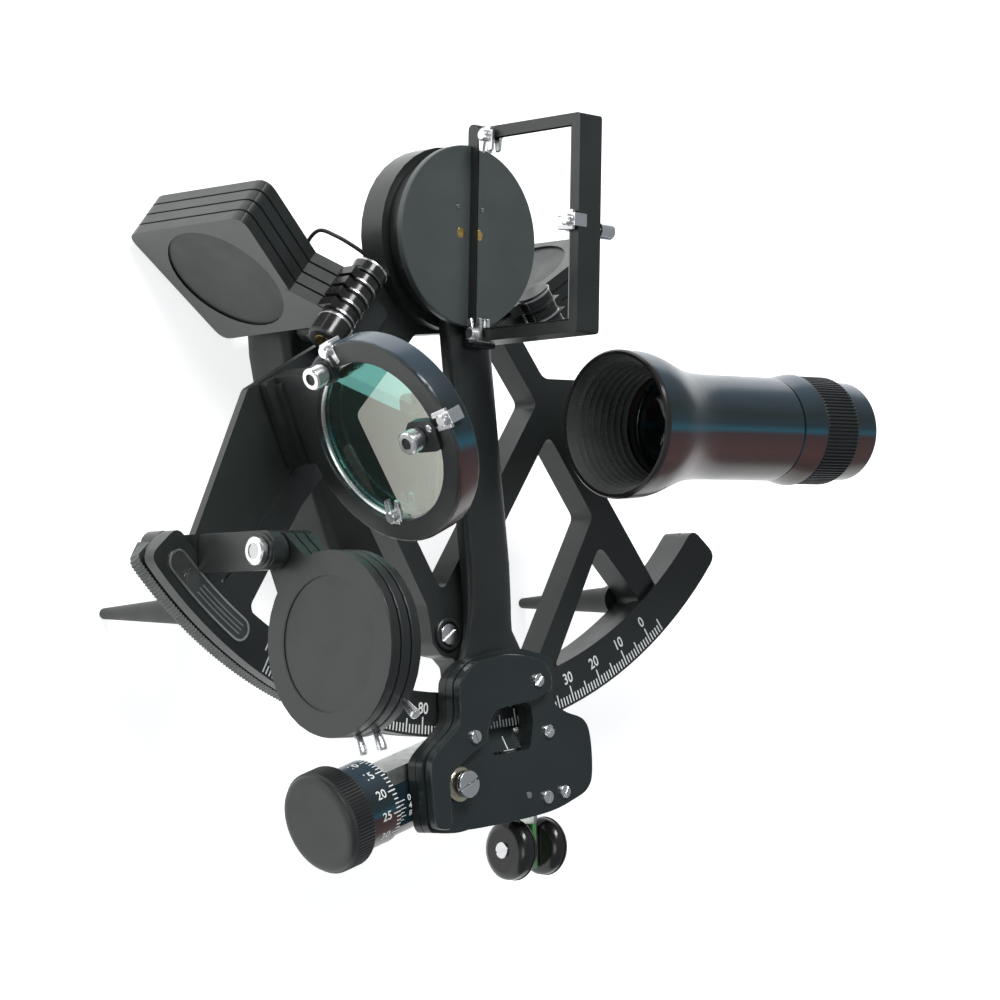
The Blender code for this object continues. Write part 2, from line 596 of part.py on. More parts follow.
def build_horizon_shades():
    y, z = HORIZON_SHADE_PIVOT
    post = rounded([(-97, 0.25), (-97, z + 3), (y + 3.5, z + 6), (y - 3.5, z + 6), (-109, z + 1),
                    (-109, 0.25)], 3)
    axes = upright((0, 0, 0), 0)
    body = prism(post, -106.6, -102.2)
    boss = at(lathe([(-107.3, 5.6), (HORIZON_SHADE_FIRST - GAP, 5.6)]), y, z)
    hole = at(lathe([(-120, SHADE_PIN_RADIUS + GAP), (-90, SHADE_PIN_RADIUS + GAP)]), y, z)
    node("horizon_shade_post", moved(combine([body, boss], [hole]), axes), SATIN_BLACK)
    last = HORIZON_SHADE_FIRST + 3 * HORIZON_SHADE_PITCH
    pin = lathe([(-109.8, 0), (-109.8, 3.8), (-109.2, 4.4), (-107.6, 4.4), (-107.6, SHADE_PIN_RADIUS),
                 (last, SHADE_PIN_RADIUS), (last, 4.4), (last + 1.5, 4.4), (last + 1.5, 0)])
    node("horizon_shade_pin", moved(at(pin, y, z), axes.copy()), CHROME)
    for i in range(3):
        low = HORIZON_SHADE_FIRST + i * HORIZON_SHADE_PITCH
        high = low + HORIZON_SHADE_PITCH - 0.5
        disc = prism(circle(*HORIZON_SHADE_CENTRE, HORIZON_SHADE_RADIUS, ROUND), low, high)
        arm = prism(shade_arm(HORIZON_SHADE_CENTRE, HORIZON_SHADE_PIVOT, 15, 6.2), low + 0.1, high - 0.1)
        eye = prism(circle(y, z, 6.3), low + 0.05, high - 0.05)
        glass_hole = prism(circle(*HORIZON_SHADE_CENTRE, HORIZON_SHADE_GLASS + GAP, ROUND), low - 9, high + 9)
        pin_hole = prism(circle(y, z, SHADE_PIN_RADIUS + RUNNING), low - 9, high + 9)
        body = combine([disc, arm, eye], [glass_hole, pin_hole])
        node(f"horizon_shade_frame_{i + 1}", moved(body, axes.copy()), SATIN_BLACK, (low, y, z))
        glass = prism(circle(*HORIZON_SHADE_CENTRE, HORIZON_SHADE_GLASS, ROUND), low + 0.6, high - 0.6)
        node(f"horizon_shade_glass_{i + 1}", moved(glass, axes.copy()), SHADE_GLASS, (low, y, z))


def build_index_shades():
    axes = upright((0, 0, 0), INDEX_SHADE_ANGLE)
    x, z = INDEX_SHADE_PIVOT
    front, back = INDEX_SHADE_FIRST - 9, -33.0
    inner = INDEX_SHADE_FIRST + 4 * INDEX_SHADE_PITCH
    front_collar = at(lathe([(front, 5.2), (front + 0.6, 5.8), (INDEX_SHADE_FIRST - GAP, 5.8)], 32), x, z)
    back_collar = at(lathe([(inner, 5.8), (back - 0.6, 5.8), (back, 5.2)], 32), x, z)
    core = at(lathe([(front + 3, SHADE_PIN_RADIUS), (back - 3, SHADE_PIN_RADIUS)]), x, z)
    feet = [prism([(x - 9, z - 6.7), (x + 3, z - 6.7), (x + 3, z - 3), (x, z), (x - 4, z - 1), (x - 9, z - 4)],
                  low, high)
            for low, high in ((front + 1, INDEX_SHADE_FIRST - GAP - 0.4), (inner + 0.4, back - 1))]
    base = prism(rounded([(x - 17, back - 3), (x - 5, back - 3), (x - 5, front + 1), (x - 17, front + 14)], 2),
                 -1.7, 0.9)
    base.transform(Matrix(((1, 0, 0, 0), (0, 0, 1, 0), (0, -1, 0, 0), (0, 0, 0, 1)))
                   @ Matrix.Scale(-1, 4, (0, 1, 0)))
    node("index_shade_post", moved(combine([core, front_collar, back_collar, *feet, base]), axes), SATIN_BLACK)
    cx, cz = INDEX_SHADE_CENTRE
    top = INDEX_SHADE_PLATE[1][1]
    for i in range(4):
        low = INDEX_SHADE_FIRST + i * INDEX_SHADE_PITCH
        high = low + INDEX_SHADE_PITCH - 0.5
        plate = rounded(INDEX_SHADE_PLATE, 4.5)
        tab = [(x - 4.4, z), (x - 1.0, top - 14), (x + 16, top - 7), (x + 4.6, z - 0.5)]
        solids = [prism(plate, low + 0.2, high), prism(tab, low + 0.1, high - 0.1),
                  prism(circle(x, z, 5.4, 32), low, high - 0.05)]
        glass_hole = prism(circle(cx, cz, INDEX_SHADE_GLASS + GAP, ROUND), low - 9, high + 9)
        pin_hole = prism(circle(x, z, SHADE_PIN_RADIUS + RUNNING), low - 9, high + 9)
        hinge = (axes @ Vector((x, z, low)))[:]
        body = combine(solids, [glass_hole, pin_hole])
        node(f"index_shade_frame_{i + 1}", moved(body, axes.copy()), SATIN_BLACK, hinge)
        glass = prism(circle(cx, cz, INDEX_SHADE_GLASS, ROUND), low + 0.7, high - 0.6)
        node(f"index_shade_glass_{i + 1}", moved(glass, axes.copy()), SHADE_GLASS, hinge)


# ---------------------------------------------------------------- telescope

def build_telescope():
    axes = upright(SCOPE_AXIS, 0)
    body = [(40, 23.8), (40.6, 24.3), (47, 24.3), (53, 23.2), (60, 21.0), (67, 18.9), (74, 17.8), (80, 17.5),
            (113.2, 17.5), (113.8, 16.9), (116, 17.4), (119, 18.2), (122, 18.8), (123.3, 18.9), (123.8, 18.4),
            (123.8, 15.1), (72, 15.1), (72, 17.6), (62, 17.6), (62, 19.4), (44, 22.5), (40, 22.7)]
    node("scope_body", moved(lathe(body, ROUND, ring=True), axes), GLOSS_BLACK)
    lens = lathe([(65.2, 0), (65.6, 10), (66.6, 17.3), (70.4, 17.3), (71.2, 10), (71.5, 0)], ROUND)
    node("scope_objective", moved(lens, axes.copy()), LENS_GLASS)
    focus = lathe([(124.2, 17.9), (124.7, 18.4), (139.8, 18.4), (140.3, 17.9), (140.3, 15.1), (124.2, 15.1)],
                  ROUND, ring=True)
    node("focus_ring", moved(focus, axes.copy()), RUBBER_BLACK, (124.2, *SCOPE_AXIS[1:]))
    eyepiece = lathe([(100, 14.8), (140.7, 14.8), (140.7, 16.8), (150.6, 16.8), (151.2, 16.2), (151.2, 12.5),
                      (148.7, 9.5), (145.7, 9.5), (145.7, 12.8), (100, 12.8)], ROUND, ring=True)
    node("scope_eyepiece", moved(eyepiece, axes.copy()), GLOSS_BLACK, (141, *SCOPE_AXIS[1:]))

    saddle = moved(lathe([(40, 17.9), (108.5, 17.9)], ROUND), upright(SCOPE_AXIS, 0))
    bracket = prism(rounded(rectangle(74.5, -70, 88, -51), 2, 2), LATTICE_TOP + GAP, LIGHT_HEIGHT - 9)
    thread = at(moved(lathe([(-30, 2.3), (30, 2.3)]), upright((0, 0, 0), 90)), 81, -50, 9)
    node("scope_bracket", combine([bracket], [saddle, thread]), SATIN_BLACK)
    screw = lathe([(-12, 0), (-12, 2.0), (0.3, 2.0), (0.3, 6.4), (0.9, 7.0), (6.6, 7.0), (7.2, 6.4), (7.2, 0)])
    node("scope_thumbscrew", moved(screw, upright((81, -51, 9), 90)), CHROME, (81, -51, 9))


def build_cords():
    cord("frame_light_wire", [(-30.6, -6.8, -3.5), (-34.5, -4.4, -4), (-40.5, -0.5, -7), (-44, 1.5, -12),
                              (-43, -3.5, -20), (-39, -12.5, -29), (-36.8, -22.2, -37)], 0.65, RUBBER_BLACK)
    cord("arm_light_wire", [(-12.9, -191.9, -0.9), (-6.7, -192.9, -0.9), (1.3, -193.0, -0.9), (7.2, -191.8, -1),
                            (11.5, -189.8, -1.3), (15, -187.2, -2), (17.5, -184.6, -3)], 0.6, RUBBER_BLACK)


def main():
    clear_scene()
    build_frame()
    build_legs()
    build_handle()
    build_index_arm()
    build_index_mirror()
    build_housing()
    build_micrometer()
    build_horizon_mirror()
    build_horizon_shades()
    build_index_shades()
    build_telescope()
    build_cords()


main()
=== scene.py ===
"""Looks of the nautical sextant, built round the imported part.

Lengths are in millimetres round the index pivot, as in the CAD: +X towards the eyepiece, +Y from
the arc to the pivot, +Z out of the face, Z = 0 at the graduated face of the limb.
"""
import json
import math

import bmesh
import bpy
from mathutils import Matrix, Vector
from mathutils.geometry import tessellate_polygon

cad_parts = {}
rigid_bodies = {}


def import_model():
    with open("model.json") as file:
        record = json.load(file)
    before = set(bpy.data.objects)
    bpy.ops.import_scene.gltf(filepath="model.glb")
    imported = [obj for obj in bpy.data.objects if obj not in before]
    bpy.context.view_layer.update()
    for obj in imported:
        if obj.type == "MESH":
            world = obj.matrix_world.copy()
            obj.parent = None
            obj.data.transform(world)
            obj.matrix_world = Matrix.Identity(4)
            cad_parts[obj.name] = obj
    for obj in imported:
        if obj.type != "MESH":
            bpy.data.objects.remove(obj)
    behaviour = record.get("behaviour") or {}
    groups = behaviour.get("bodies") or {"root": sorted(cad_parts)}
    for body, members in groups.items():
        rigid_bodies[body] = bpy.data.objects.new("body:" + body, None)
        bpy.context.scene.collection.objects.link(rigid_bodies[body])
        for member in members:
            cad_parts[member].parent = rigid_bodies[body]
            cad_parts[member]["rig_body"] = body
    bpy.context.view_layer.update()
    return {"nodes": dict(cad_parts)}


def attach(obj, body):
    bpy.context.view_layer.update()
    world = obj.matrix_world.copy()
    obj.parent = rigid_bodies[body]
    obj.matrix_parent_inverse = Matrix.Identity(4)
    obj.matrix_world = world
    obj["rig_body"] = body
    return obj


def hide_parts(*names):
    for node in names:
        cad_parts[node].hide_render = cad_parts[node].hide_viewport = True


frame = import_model()

ORIGIN = Vector((-13.652, 86.923, 60.0))
ARM_ANGLE = 6.0
LIMB_ENDS = (-50.4, 50.6)
INDEX_SHADE_ANGLE = 48.8
RING_CENTRE = (-61.0, -67.7, 40.5)
RING_ANGLE = 23.0
MIRROR_ANGLE = -3.3
WORM_ANGLE = 16.53
KNOB_FACE = (-52.2, -189.1, -9.5)
SCOPE_AXIS = (0.0, -61.7, 37.0)

# Limb, in radii and in degrees from -Y towards +X
SCALE_RIM = 161.7
SCALE_DIGITS = 153.6
BADGE_RADIUS = 155.3
BADGE_ENDS = (-47.2, -35.7)
RACK_TOOTH = 0.45
RACK_CREST = 162.25
RACK_ROOT = 161.95
RACK_INNER = 155.2
RACK_TOP = -6.7
RACK_BOTTOM = -12.9
RACK_CORNER = 3.8
RACK_CORNER_RADIUS = 162.3

LUG_SCREW = (-33.4, -26.8)
LOWER_BOSS = (-0.6, -129)
DISC_SCREW = (-4.9, 9.4)
CARRIER_SCREW = (-25.4, -175.7)
HORIZON_SCREWS = {"side": (24.3, -13.3), "upper": (1.0, 19.8)}
CLIP_SCALE = 1.35

DRUM_RADIUS = 14.0
DRUM_ZERO = -48.0
SLEEVE_RADIUS = 13.32
VERNIER_ZERO = 91.0
VERNIER_STEP = 5.8

# Shades: pivots and centres are (across, height), and pitches run along the pin
HORIZON_SHADE_PIVOT = (-103.2, 30.5)
HORIZON_SHADE_CENTRE = (-131.8, 52.9)
HORIZON_SHADE_FIRST = -100.0
HORIZON_SHADE_PITCH = 4.1
HORIZON_SHADE_THICK = 3.6
INDEX_SHADE_PIVOT = (19.5, 5.0)
INDEX_SHADE_CENTRE = (42.6, -29.0)
INDEX_SHADE_FIRST = -56
INDEX_SHADE_PITCH = 4.5


# ---------------------------------------------------------------- camera, light, floor

def make_camera():
    camera = bpy.data.objects.new("camera", bpy.data.cameras.new("camera"))
    bpy.context.collection.objects.link(camera)
    right = Vector((0.724185, -0.023691, 0.689199))
    up = Vector((-0.010663, 0.998906, 0.045541))
    back = right.cross(up)
    turn = Matrix((right, up, back)).transposed().to_4x4()
    place = (Vector((-885.75, -138.15, 952.66)) + ORIGIN) / 1000
    camera.matrix_world = Matrix.Translation(place) @ turn
    camera.data.sensor_width = 36.0
    camera.data.lens = 143.66
    camera.data.clip_start = 0.05
    bpy.context.scene.camera = camera


def area_light(name, place, target, size, power, colour=(1, 1, 1)):
    data = bpy.data.lights.new(name, "AREA")
    data.shape = "RECTANGLE"
    data.size, data.size_y = size
    data.energy = power
    data.color = colour
    light = bpy.data.objects.new(name, data)
    light.location = place
    light.rotation_euler = (Vector(target) - Vector(place)).to_track_quat("-Z", "Y").to_euler()
    bpy.context.collection.objects.link(light)


def make_studio():
    world = bpy.data.worlds.new("studio")
    world.use_nodes = True
    background = world.node_tree.nodes["Background"]
    background.inputs["Color"].default_value = (0.86, 0.93, 1.0, 1)
    background.inputs["Strength"].default_value = 0.32
    bpy.context.scene.world = world
    area_light("key", (-0.25, 0.9, 1.0), (0, 0, 0.05), (0.9, 0.35), 16)
    area_light("side", (-1.1, -0.3, 0.7), (0, 0, 0.05), (0.5, 0.5), 2.2, (0.97, 1.0, 0.97))
    floor = bpy.data.meshes.new("floor")
    floor.from_pydata([(-8, -8, 0), (8, -8, 0), (8, 8, 0), (-8, 8, 0)], [], [(0, 1, 2, 3)])
    item = bpy.data.objects.new("floor", floor)
    bpy.context.collection.objects.link(item)
    floor.materials.append(MATERIALS["floor"])
    bpy.context.scene.view_settings.view_transform = "Standard"


# ---------------------------------------------------------------- materials

def new_material(name):
    material = bpy.data.materials.new(name)
    material.use_nodes = True
    tree = material.node_tree
    return material, tree, tree.nodes["Principled BSDF"]


def noise(tree, scale, detail=3.0, roughness=0.55):
    """Noise in the part's own metres, so its grain has a real size."""
    where = tree.nodes.new("ShaderNodeTexCoord")
    texture = tree.nodes.new("ShaderNodeTexNoise")
    texture.inputs["Scale"].default_value = scale
    texture.inputs["Detail"].default_value = detail
    texture.inputs["Roughness"].default_value = roughness
    tree.links.new(where.outputs["Object"], texture.inputs["Vector"])
    return texture.outputs["Fac"]


def ramp(tree, value, stops):
    node = tree.nodes.new("ShaderNodeValToRGB")
    elements = node.color_ramp.elements
    while len(elements) < len(stops):
        elements.new(0.99)
    for element, (place, colour) in zip(elements, stops):
        element.position = place
        element.color = (*colour, 1)
    tree.links.new(value, node.inputs["Fac"])
    return node.outputs["Color"]


def span(tree, value, low, high):
    """Stretch a 0 to 1 value over low to high."""
    node = tree.nodes.new("ShaderNodeMapRange")
    node.inputs["From Min"].default_value = 0.3
    node.inputs["From Max"].default_value = 0.7
    node.inputs["To Min"].default_value = low
    node.inputs["To Max"].default_value = high
    tree.links.new(value, node.inputs["Value"])
    return node.outputs["Result"]


def bump(tree, shader, value, strength, distance):
    node = tree.nodes.new("ShaderNodeBump")
    node.inputs["Strength"].default_value = strength
    node.inputs["Distance"].default_value = distance
    tree.links.new(value, node.inputs["Height"])
    tree.links.new(node.outputs["Normal"], shader.inputs["Normal"])


def paint(name, dark, light, rough, grain=1500.0, relief=0.15, metallic=0.0, patch=40.0):
    """Painted, anodised or bare metal: two near tones in patches, and a fine grain."""
    material, tree, shader = new_material(name)
    colour = ramp(tree, noise(tree, patch), [(0.3, dark), (0.7, light)])
    tree.links.new(colour, shader.inputs["Base Color"])
    tree.links.new(span(tree, noise(tree, patch * 3), *rough), shader.inputs["Roughness"])
    bump(tree, shader, noise(tree, grain, 4.0), relief, 0.00005)
    shader.inputs["Metallic"].default_value = metallic
    return material


def glowing_floor(name):
    """A pale floor lit from inside, so that no hard shadow falls on it."""
    material, tree, shader = new_material(name)
    shade = ramp(tree, noise(tree, 3), [(0.3, (0.93, 0.93, 0.93)), (0.7, (0.95, 0.95, 0.95))])
    tree.links.new(shade, shader.inputs["Base Color"])
    tree.links.new(shade, shader.inputs["Emission Color"])
    shader.inputs["Emission Strength"].default_value = 0.75
    shader.inputs["Roughness"].default_value = 0.8
    return material


def coated_paint(name):
    """Deep gloss black with painted reflections: its tone runs from blue-grey on faces turned up, through a
    teal band, to red-brown on faces turned down.
    """
    material, tree, shader = new_material(name)
    geometry = tree.nodes.new("ShaderNodeNewGeometry")
    split = tree.nodes.new("ShaderNodeSeparateXYZ")
    tree.links.new(geometry.outputs["Normal"], split.inputs["Vector"])
    half = tree.nodes.new("ShaderNodeMapRange")
    half.inputs["From Min"].default_value = -1.0
    tree.links.new(split.outputs["Y"], half.inputs["Value"])
    # painted reflections: faces turned to -Y red-brown, a bright teal band near level, faces turned to +Y
    # blue-grey
    colour = ramp(tree, half.outputs["Result"], [
        (0.0, (0.030, 0.038, 0.022)), (0.07, (0.050, 0.026, 0.020)), (0.25, (0.085, 0.034, 0.030)),
        (0.41, (0.040, 0.022, 0.024)), (0.45, (0.012, 0.070, 0.100)), (0.50, (0.010, 0.026, 0.034)),
        (0.60, (0.010, 0.018, 0.018)), (0.76, (0.020, 0.032, 0.042)), (0.95, (0.045, 0.068, 0.090))])
    tree.links.new(colour, shader.inputs["Base Color"])
    tree.links.new(span(tree, noise(tree, 90), 0.2, 0.28), shader.inputs["Roughness"])
    bump(tree, shader, noise(tree, 1200, 4.0), 0.05, 0.00003)
    return material


def two_faced_paint(name, degrees):
    """Black on the edges, and a painted reflection of the floor: a dull grey on faces square to a level
    direction.
    """
    material, tree, shader = new_material(name)
    where = tree.nodes.new("ShaderNodeTexCoord")
    toward = tree.nodes.new("ShaderNodeVectorMath")
    toward.operation = "DOT_PRODUCT"
    tree.links.new(where.outputs["Normal"], toward.inputs[0])
    toward.inputs[1].default_value = (math.cos(math.radians(degrees)), math.sin(math.radians(degrees)), 0)
    square = tree.nodes.new("ShaderNodeMath")
    square.operation = "ABSOLUTE"
    tree.links.new(toward.outputs["Value"], square.inputs[0])
    # painted reflection: faces square to the given direction are painted dull grey, the edges black
    painted_reflection = ramp(tree, square.outputs["Value"],
                 [(0.75, (0.010, 0.012, 0.011)), (0.95, (0.052, 0.060, 0.054))])
    patches = ramp(tree, noise(tree, 40), [(0.3, (0.9, 0.9, 0.9)), (0.7, (1.0, 1.0, 1.0))])
    blend = tree.nodes.new("ShaderNodeMix")
    blend.data_type = "RGBA"
    blend.blend_type = "MULTIPLY"
    # a Mix node in colour mode takes its two colours at sockets 6 and 7 and gives them at 2
    blend.inputs[0].default_value = 1.0
    tree.links.new(painted_reflection, blend.inputs[6])
    tree.links.new(patches, blend.inputs[7])
    tree.links.new(blend.outputs[2], shader.inputs["Base Color"])
    tree.links.new(span(tree, noise(tree, 120), 0.30, 0.38), shader.inputs["Roughness"])
    bump(tree, shader, noise(tree, 1500, 4.0), 0.12, 0.00005)
    return material


def glass(name, tint, transmission, rough=0.02):
    material, tree, shader = new_material(name)
    pale = tuple(min(1.0, c * 1.06) for c in tint)
    tree.links.new(ramp(tree, noise(tree, 30), [(0.3, tint), (0.7, pale)]), shader.inputs["Base Color"])
    tree.links.new(span(tree, noise(tree, 60), rough, rough * 1.6), shader.inputs["Roughness"])
    shader.inputs["Transmission Weight"].default_value = transmission
    return material


def beam_splitter():
    """Clear glass, cream by transmitted light, under a coating that reflects teal."""
    material, tree, shader = new_material("beam_splitter")
    tree.links.new(ramp(tree, noise(tree, 25), [(0.3, (0.66, 0.65, 0.56)), (0.7, (0.72, 0.71, 0.63))]),
                   shader.inputs["Base Color"])
    shader.inputs["Roughness"].default_value = 0.02
    shader.inputs["Transmission Weight"].default_value = 1.0
    shader.inputs["IOR"].default_value = 1.03
    coating = tree.nodes.new("ShaderNodeBsdfGlossy")
    coating.inputs["Color"].default_value = (0.22, 0.62, 0.56, 1)
    coating.inputs["Roughness"].default_value = 0.02
    mix = tree.nodes.new("ShaderNodeMixShader")
    mix.inputs["Fac"].default_value = 0.3
    tree.links.new(shader.outputs["BSDF"], mix.inputs[1])
    tree.links.new(coating.outputs["BSDF"], mix.inputs[2])
    tree.links.new(mix.outputs["Shader"], tree.nodes["Material Output"].inputs["Surface"])
    return material


def make_materials():
    grey = lambda v: (v, v, v)
    return {
        "cast": paint("satin_black", (0.014, 0.017, 0.016), (0.020, 0.023, 0.022), (0.28, 0.38)),
        "shade_rim": paint("shade_rim", (0.009, 0.011, 0.010), (0.013, 0.015, 0.014), (0.34, 0.42)),
        "plate": paint("plate_black", (0.014, 0.020, 0.020), (0.019, 0.026, 0.026), (0.24, 0.32),
                       relief=0.08),
        "disc": paint("disc_black", (0.040, 0.048, 0.048), (0.050, 0.059, 0.059), (0.3, 0.4), relief=0.08),
        "shade_plate_painted_reflection": two_faced_paint("shade_plate_painted_reflection", INDEX_SHADE_ANGLE),
        "painted_reflection_gloss": coated_paint("gloss_black"),
        "pad": paint("pad_black", (0.008, 0.008, 0.008), (0.016, 0.014, 0.013), (0.14, 0.24), relief=0.05),
        "rubber": paint("soft_black", (0.010, 0.012, 0.012), (0.017, 0.019, 0.019), (0.42, 0.55)),
        "knob": paint("knob_face", (0.014, 0.016, 0.014), (0.020, 0.023, 0.020), (0.36, 0.46)),
        "chrome": paint("chrome", grey(0.70), grey(0.80), (0.24, 0.30), 1500, 0.0, 1.0, 60),
        "steel": paint("turned_steel", grey(0.46), grey(0.58), (0.24, 0.34), 3000, 0.04, 1.0, 60),
        "alloy": paint("bare_alloy", (0.55, 0.57, 0.54), (0.7, 0.72, 0.69), (0.28, 0.42),
                       1100, 0.2, 1.0, 120),
        "green": paint("green_alloy", (0.06, 0.26, 0.07), (0.13, 0.36, 0.12), (0.3, 0.42),
                       1100, 0.15, 0.4, 120),
        "brass": paint("brass", (0.62, 0.42, 0.13), (0.78, 0.56, 0.2), (0.2, 0.34), 1100, 0.15, 1.0, 200),
        "gold": paint("washer_gold", (0.60, 0.55, 0.40), (0.72, 0.67, 0.50), (0.2, 0.3),
                      1100, 0.15, 1.0, 200),
        "white": paint("white_paint", (0.78, 0.8, 0.78), (0.86, 0.88, 0.86), (0.5, 0.65), 1100, 0.1),
        "rack": paint("rack", (0.045, 0.052, 0.048), (0.075, 0.084, 0.078), (0.36, 0.5),
                      1100, 0.2, 0.5, 200),
        "badge": paint("badge", (0.10, 0.105, 0.10), (0.15, 0.155, 0.15), (0.25, 0.4), 1500, 0.3, 0.8, 60),
        "baffle": paint("baffle", (0.050, 0.052, 0.050), (0.075, 0.078, 0.075), (0.24, 0.34)),
        # black of the lens cell, also used as painted shade in the disc's screw hole and the horizon screws'
        # sockets
        "inside": paint("black_and_painted_shade", (0.008, 0.008, 0.008), (0.014, 0.013, 0.012), (0.4, 0.55)),
        "mirror": paint("mirror", (0.87, 0.89, 0.88), (0.90, 0.91, 0.90), (0.0, 0.015), 900, 0.0, 1.0, 50),
        "splitter": beam_splitter(),
        "shade": glass("shade_glass", (0.012, 0.016, 0.015), 0.15, 0.32),
        "lens": glass("lens_glass", (0.75, 0.84, 0.86), 1.0),
        "floor": glowing_floor("floor"),
    }


# ---------------------------------------------------------------- outlines

def circle(x, y, radius, sides=64):
    turn = 2 * math.pi / sides
    return [(x + radius * math.cos(i * turn), y + radius * math.sin(i * turn)) for i in range(sides)]


def rectangle(x0, y0, x1, y1):
    return [(x0, y0), (x1, y0), (x1, y1), (x0, y1)]


def polar(radius, degrees):
    a = math.radians(degrees)
    return radius * math.sin(a), -radius * math.cos(a)


def rounded(points, radius, steps=8):
    result = []
    for i, point in enumerate(points):
        here = Vector(point)
        before = Vector(points[i - 1]) - here
        after = Vector(points[(i + 1) % len(points)]) - here
        angle = before.angle(after)
        if angle > math.radians(172):
            result.append(point)
            continue
        reach = min(radius / math.tan(angle / 2), 0.45 * before.length, 0.45 * after.length)
        first = here + before.normalized() * reach
        last = here + after.normalized() * reach
        for k in range(steps + 1):
            t = k / steps
            curve = first * (1 - t) ** 2 + here * 2 * t * (1 - t) + last * t ** 2
            result.append((curve.x, curve.y))
    return result


# ---------------------------------------------------------------- solids

def face_out(bm):
    bmesh.ops.recalc_face_normals(bm, faces=bm.faces)
    if bm.calc_volume(signed=True) < 0:
        bmesh.ops.reverse_faces(bm, faces=bm.faces)
    return bm


def prism(outline, low, high, holes=()):
    loops = [outline, *holes]
    bm = bmesh.new()
    bottom = [[bm.verts.new((x, y, low)) for x, y in loop] for loop in loops]
    top = [[bm.verts.new((x, y, high)) for x, y in loop] for loop in loops]
    for lower, upper in zip(bottom, top):
        for i in range(len(lower)):
            bm.faces.new((lower[i - 1], lower[i], upper[i], upper[i - 1]))
    if holes:
        flat_bottom = [v for loop in bottom for v in loop]
        flat_top = [v for loop in top for v in loop]
        for triangle in tessellate_polygon([[Vector((x, y, 0)) for x, y in loop] for loop in loops]):
            bm.faces.new([flat_bottom[i] for i in triangle])
            bm.faces.new([flat_top[i] for i in triangle])
    else:
        bm.faces.new(bottom[0])
        bm.faces.new(top[0])
    return face_out(bm)


def loft(sections, closed=False):
    bm = bmesh.new()
    rows = [[bm.verts.new(point) for point in section] for section in sections]
    pairs = list(zip(rows, rows[1:]))
    if closed:
        pairs.append((rows[-1], rows[0]))
    else:
        bm.faces.new(rows[0])
        bm.faces.new(rows[-1])
    for lower, upper in pairs:
        for i in range(len(lower)):
            bm.faces.new((lower[i - 1], lower[i], upper[i], upper[i - 1]))
    return face_out(bm)


def lathe(profile, sides=96, ring=False):
    """Turn (height, radius) points about Z. The ends close flat unless it is a ring."""
    sections = []
    for height, radius in profile:
        sections.append([(x, y, height) for x, y in circle(0, 0, max(radius, 0.01), sides)])
    return loft(sections, ring)


def ridged(levels, count, depth):
    """A turned piece with ridges along its axis. Levels are (height, radius, share of the depth)."""
    sections = []
    for height, radius, share in levels:
        row = []
        for i in range(count * 4):
            a = 2 * math.pi * (i + 0.5) / (count * 4)
            r = radius - (depth * share if i % 4 < 2 else 0)
            row.append((r * math.cos(a), r * math.sin(a), height))
        sections.append(row)
    return loft(sections)


def upright(origin, degrees):
    a = math.radians(degrees)
    facing = Vector((math.cos(a), math.sin(a), 0))
    across = Vector((-math.sin(a), math.cos(a), 0))
    axes = Matrix((across, Vector((0, 0, 1)), facing)).transposed().to_4x4()
    return Matrix.Translation(origin) @ axes


def moved(bm, matrix):
    bm.transform(matrix)
    return bm


def at(bm, x, y, z=0.0):
    return moved(bm, Matrix.Translation((x, y, z)))


def softened(bm, width, segments=2, angle=28):
    """Round the sharp edges."""
    edges = [e for e in bm.edges if len(e.link_faces) == 2
             and e.calc_face_angle(0) > math.radians(angle)]
    bmesh.ops.bevel(bm, geom=edges, offset=width, segments=segments, profile=0.6,
                    affect="EDGES", clamp_overlap=True, loop_slide=True)
    return bm


def merged(solids):
    result = bmesh.new()
    for solid in solids:
        mesh = bpy.data.meshes.new("merge")
        solid.to_mesh(mesh)
        solid.free()
        result.from_mesh(mesh)
        bpy.data.meshes.remove(mesh)
    return result


def slotted(radius, height, slot=0.16, depth=0.45, slope=0.25):
    """A screw head standing on Z = 0 with its slot along X."""
    half = radius * slot
    floor = height * (1 - depth)
    body = softened(lathe([(-0.3, radius), (floor, radius)], 48), 0.02, 1)
    solids = [body]
    for side in (1, -1):
        edge = []
        start = math.asin(half / radius)
        for k in range(17):
            a = start + (math.pi - 2 * start) * k / 16
            edge.append((radius * math.cos(a), side * radius * math.sin(a)))
        solids.append(softened(prism(edge, floor - 0.2, height), min(slope, height * 0.4), 3))
    return merged(solids)


# ---------------------------------------------------------------- pieces

NODE_BODY = {name: node["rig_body"] for name, node in frame["nodes"].items()}


def show(name, bm, material, body, replaces=(), smooth=32):
    """Put a solid drawn in millimetres round the pivot into the scene, riding on a body."""
    bm.transform(Matrix.Translation(ORIGIN))
    bm.transform(Matrix.Scale(0.001, 4))
    mesh = bpy.data.meshes.new(name)
    bm.to_mesh(mesh)
    bm.free()
    mesh.materials.append(MATERIALS[material])
    mesh.shade_smooth()
    mesh.set_sharp_from_angle(angle=math.radians(smooth))
    item = bpy.data.objects.new(name, mesh)
    bpy.context.collection.objects.link(item)
    weighted = item.modifiers.new("normals", "WEIGHTED_NORMAL")
    weighted.keep_sharp = True
    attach(item, body)
    if replaces:
        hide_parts(*replaces)
    return item


def refine(node, material, width=0.5, segments=2):
    """Redraw a CAD solid with its edges rounded."""
    bm = bmesh.new()
    bm.from_mesh(frame["nodes"][node].data)
    bm.transform(Matrix.Scale(1000, 4))
    bm.transform(Matrix.Translation(-ORIGIN))
    bmesh.ops.remove_doubles(bm, verts=bm.verts, dist=0.003)
    bmesh.ops.dissolve_limit(bm, angle_limit=math.radians(0.6), verts=bm.verts, edges=bm.edges)
    softened(bm, width, segments)
    return show(node + "_body", bm, material, NODE_BODY[node], [node])


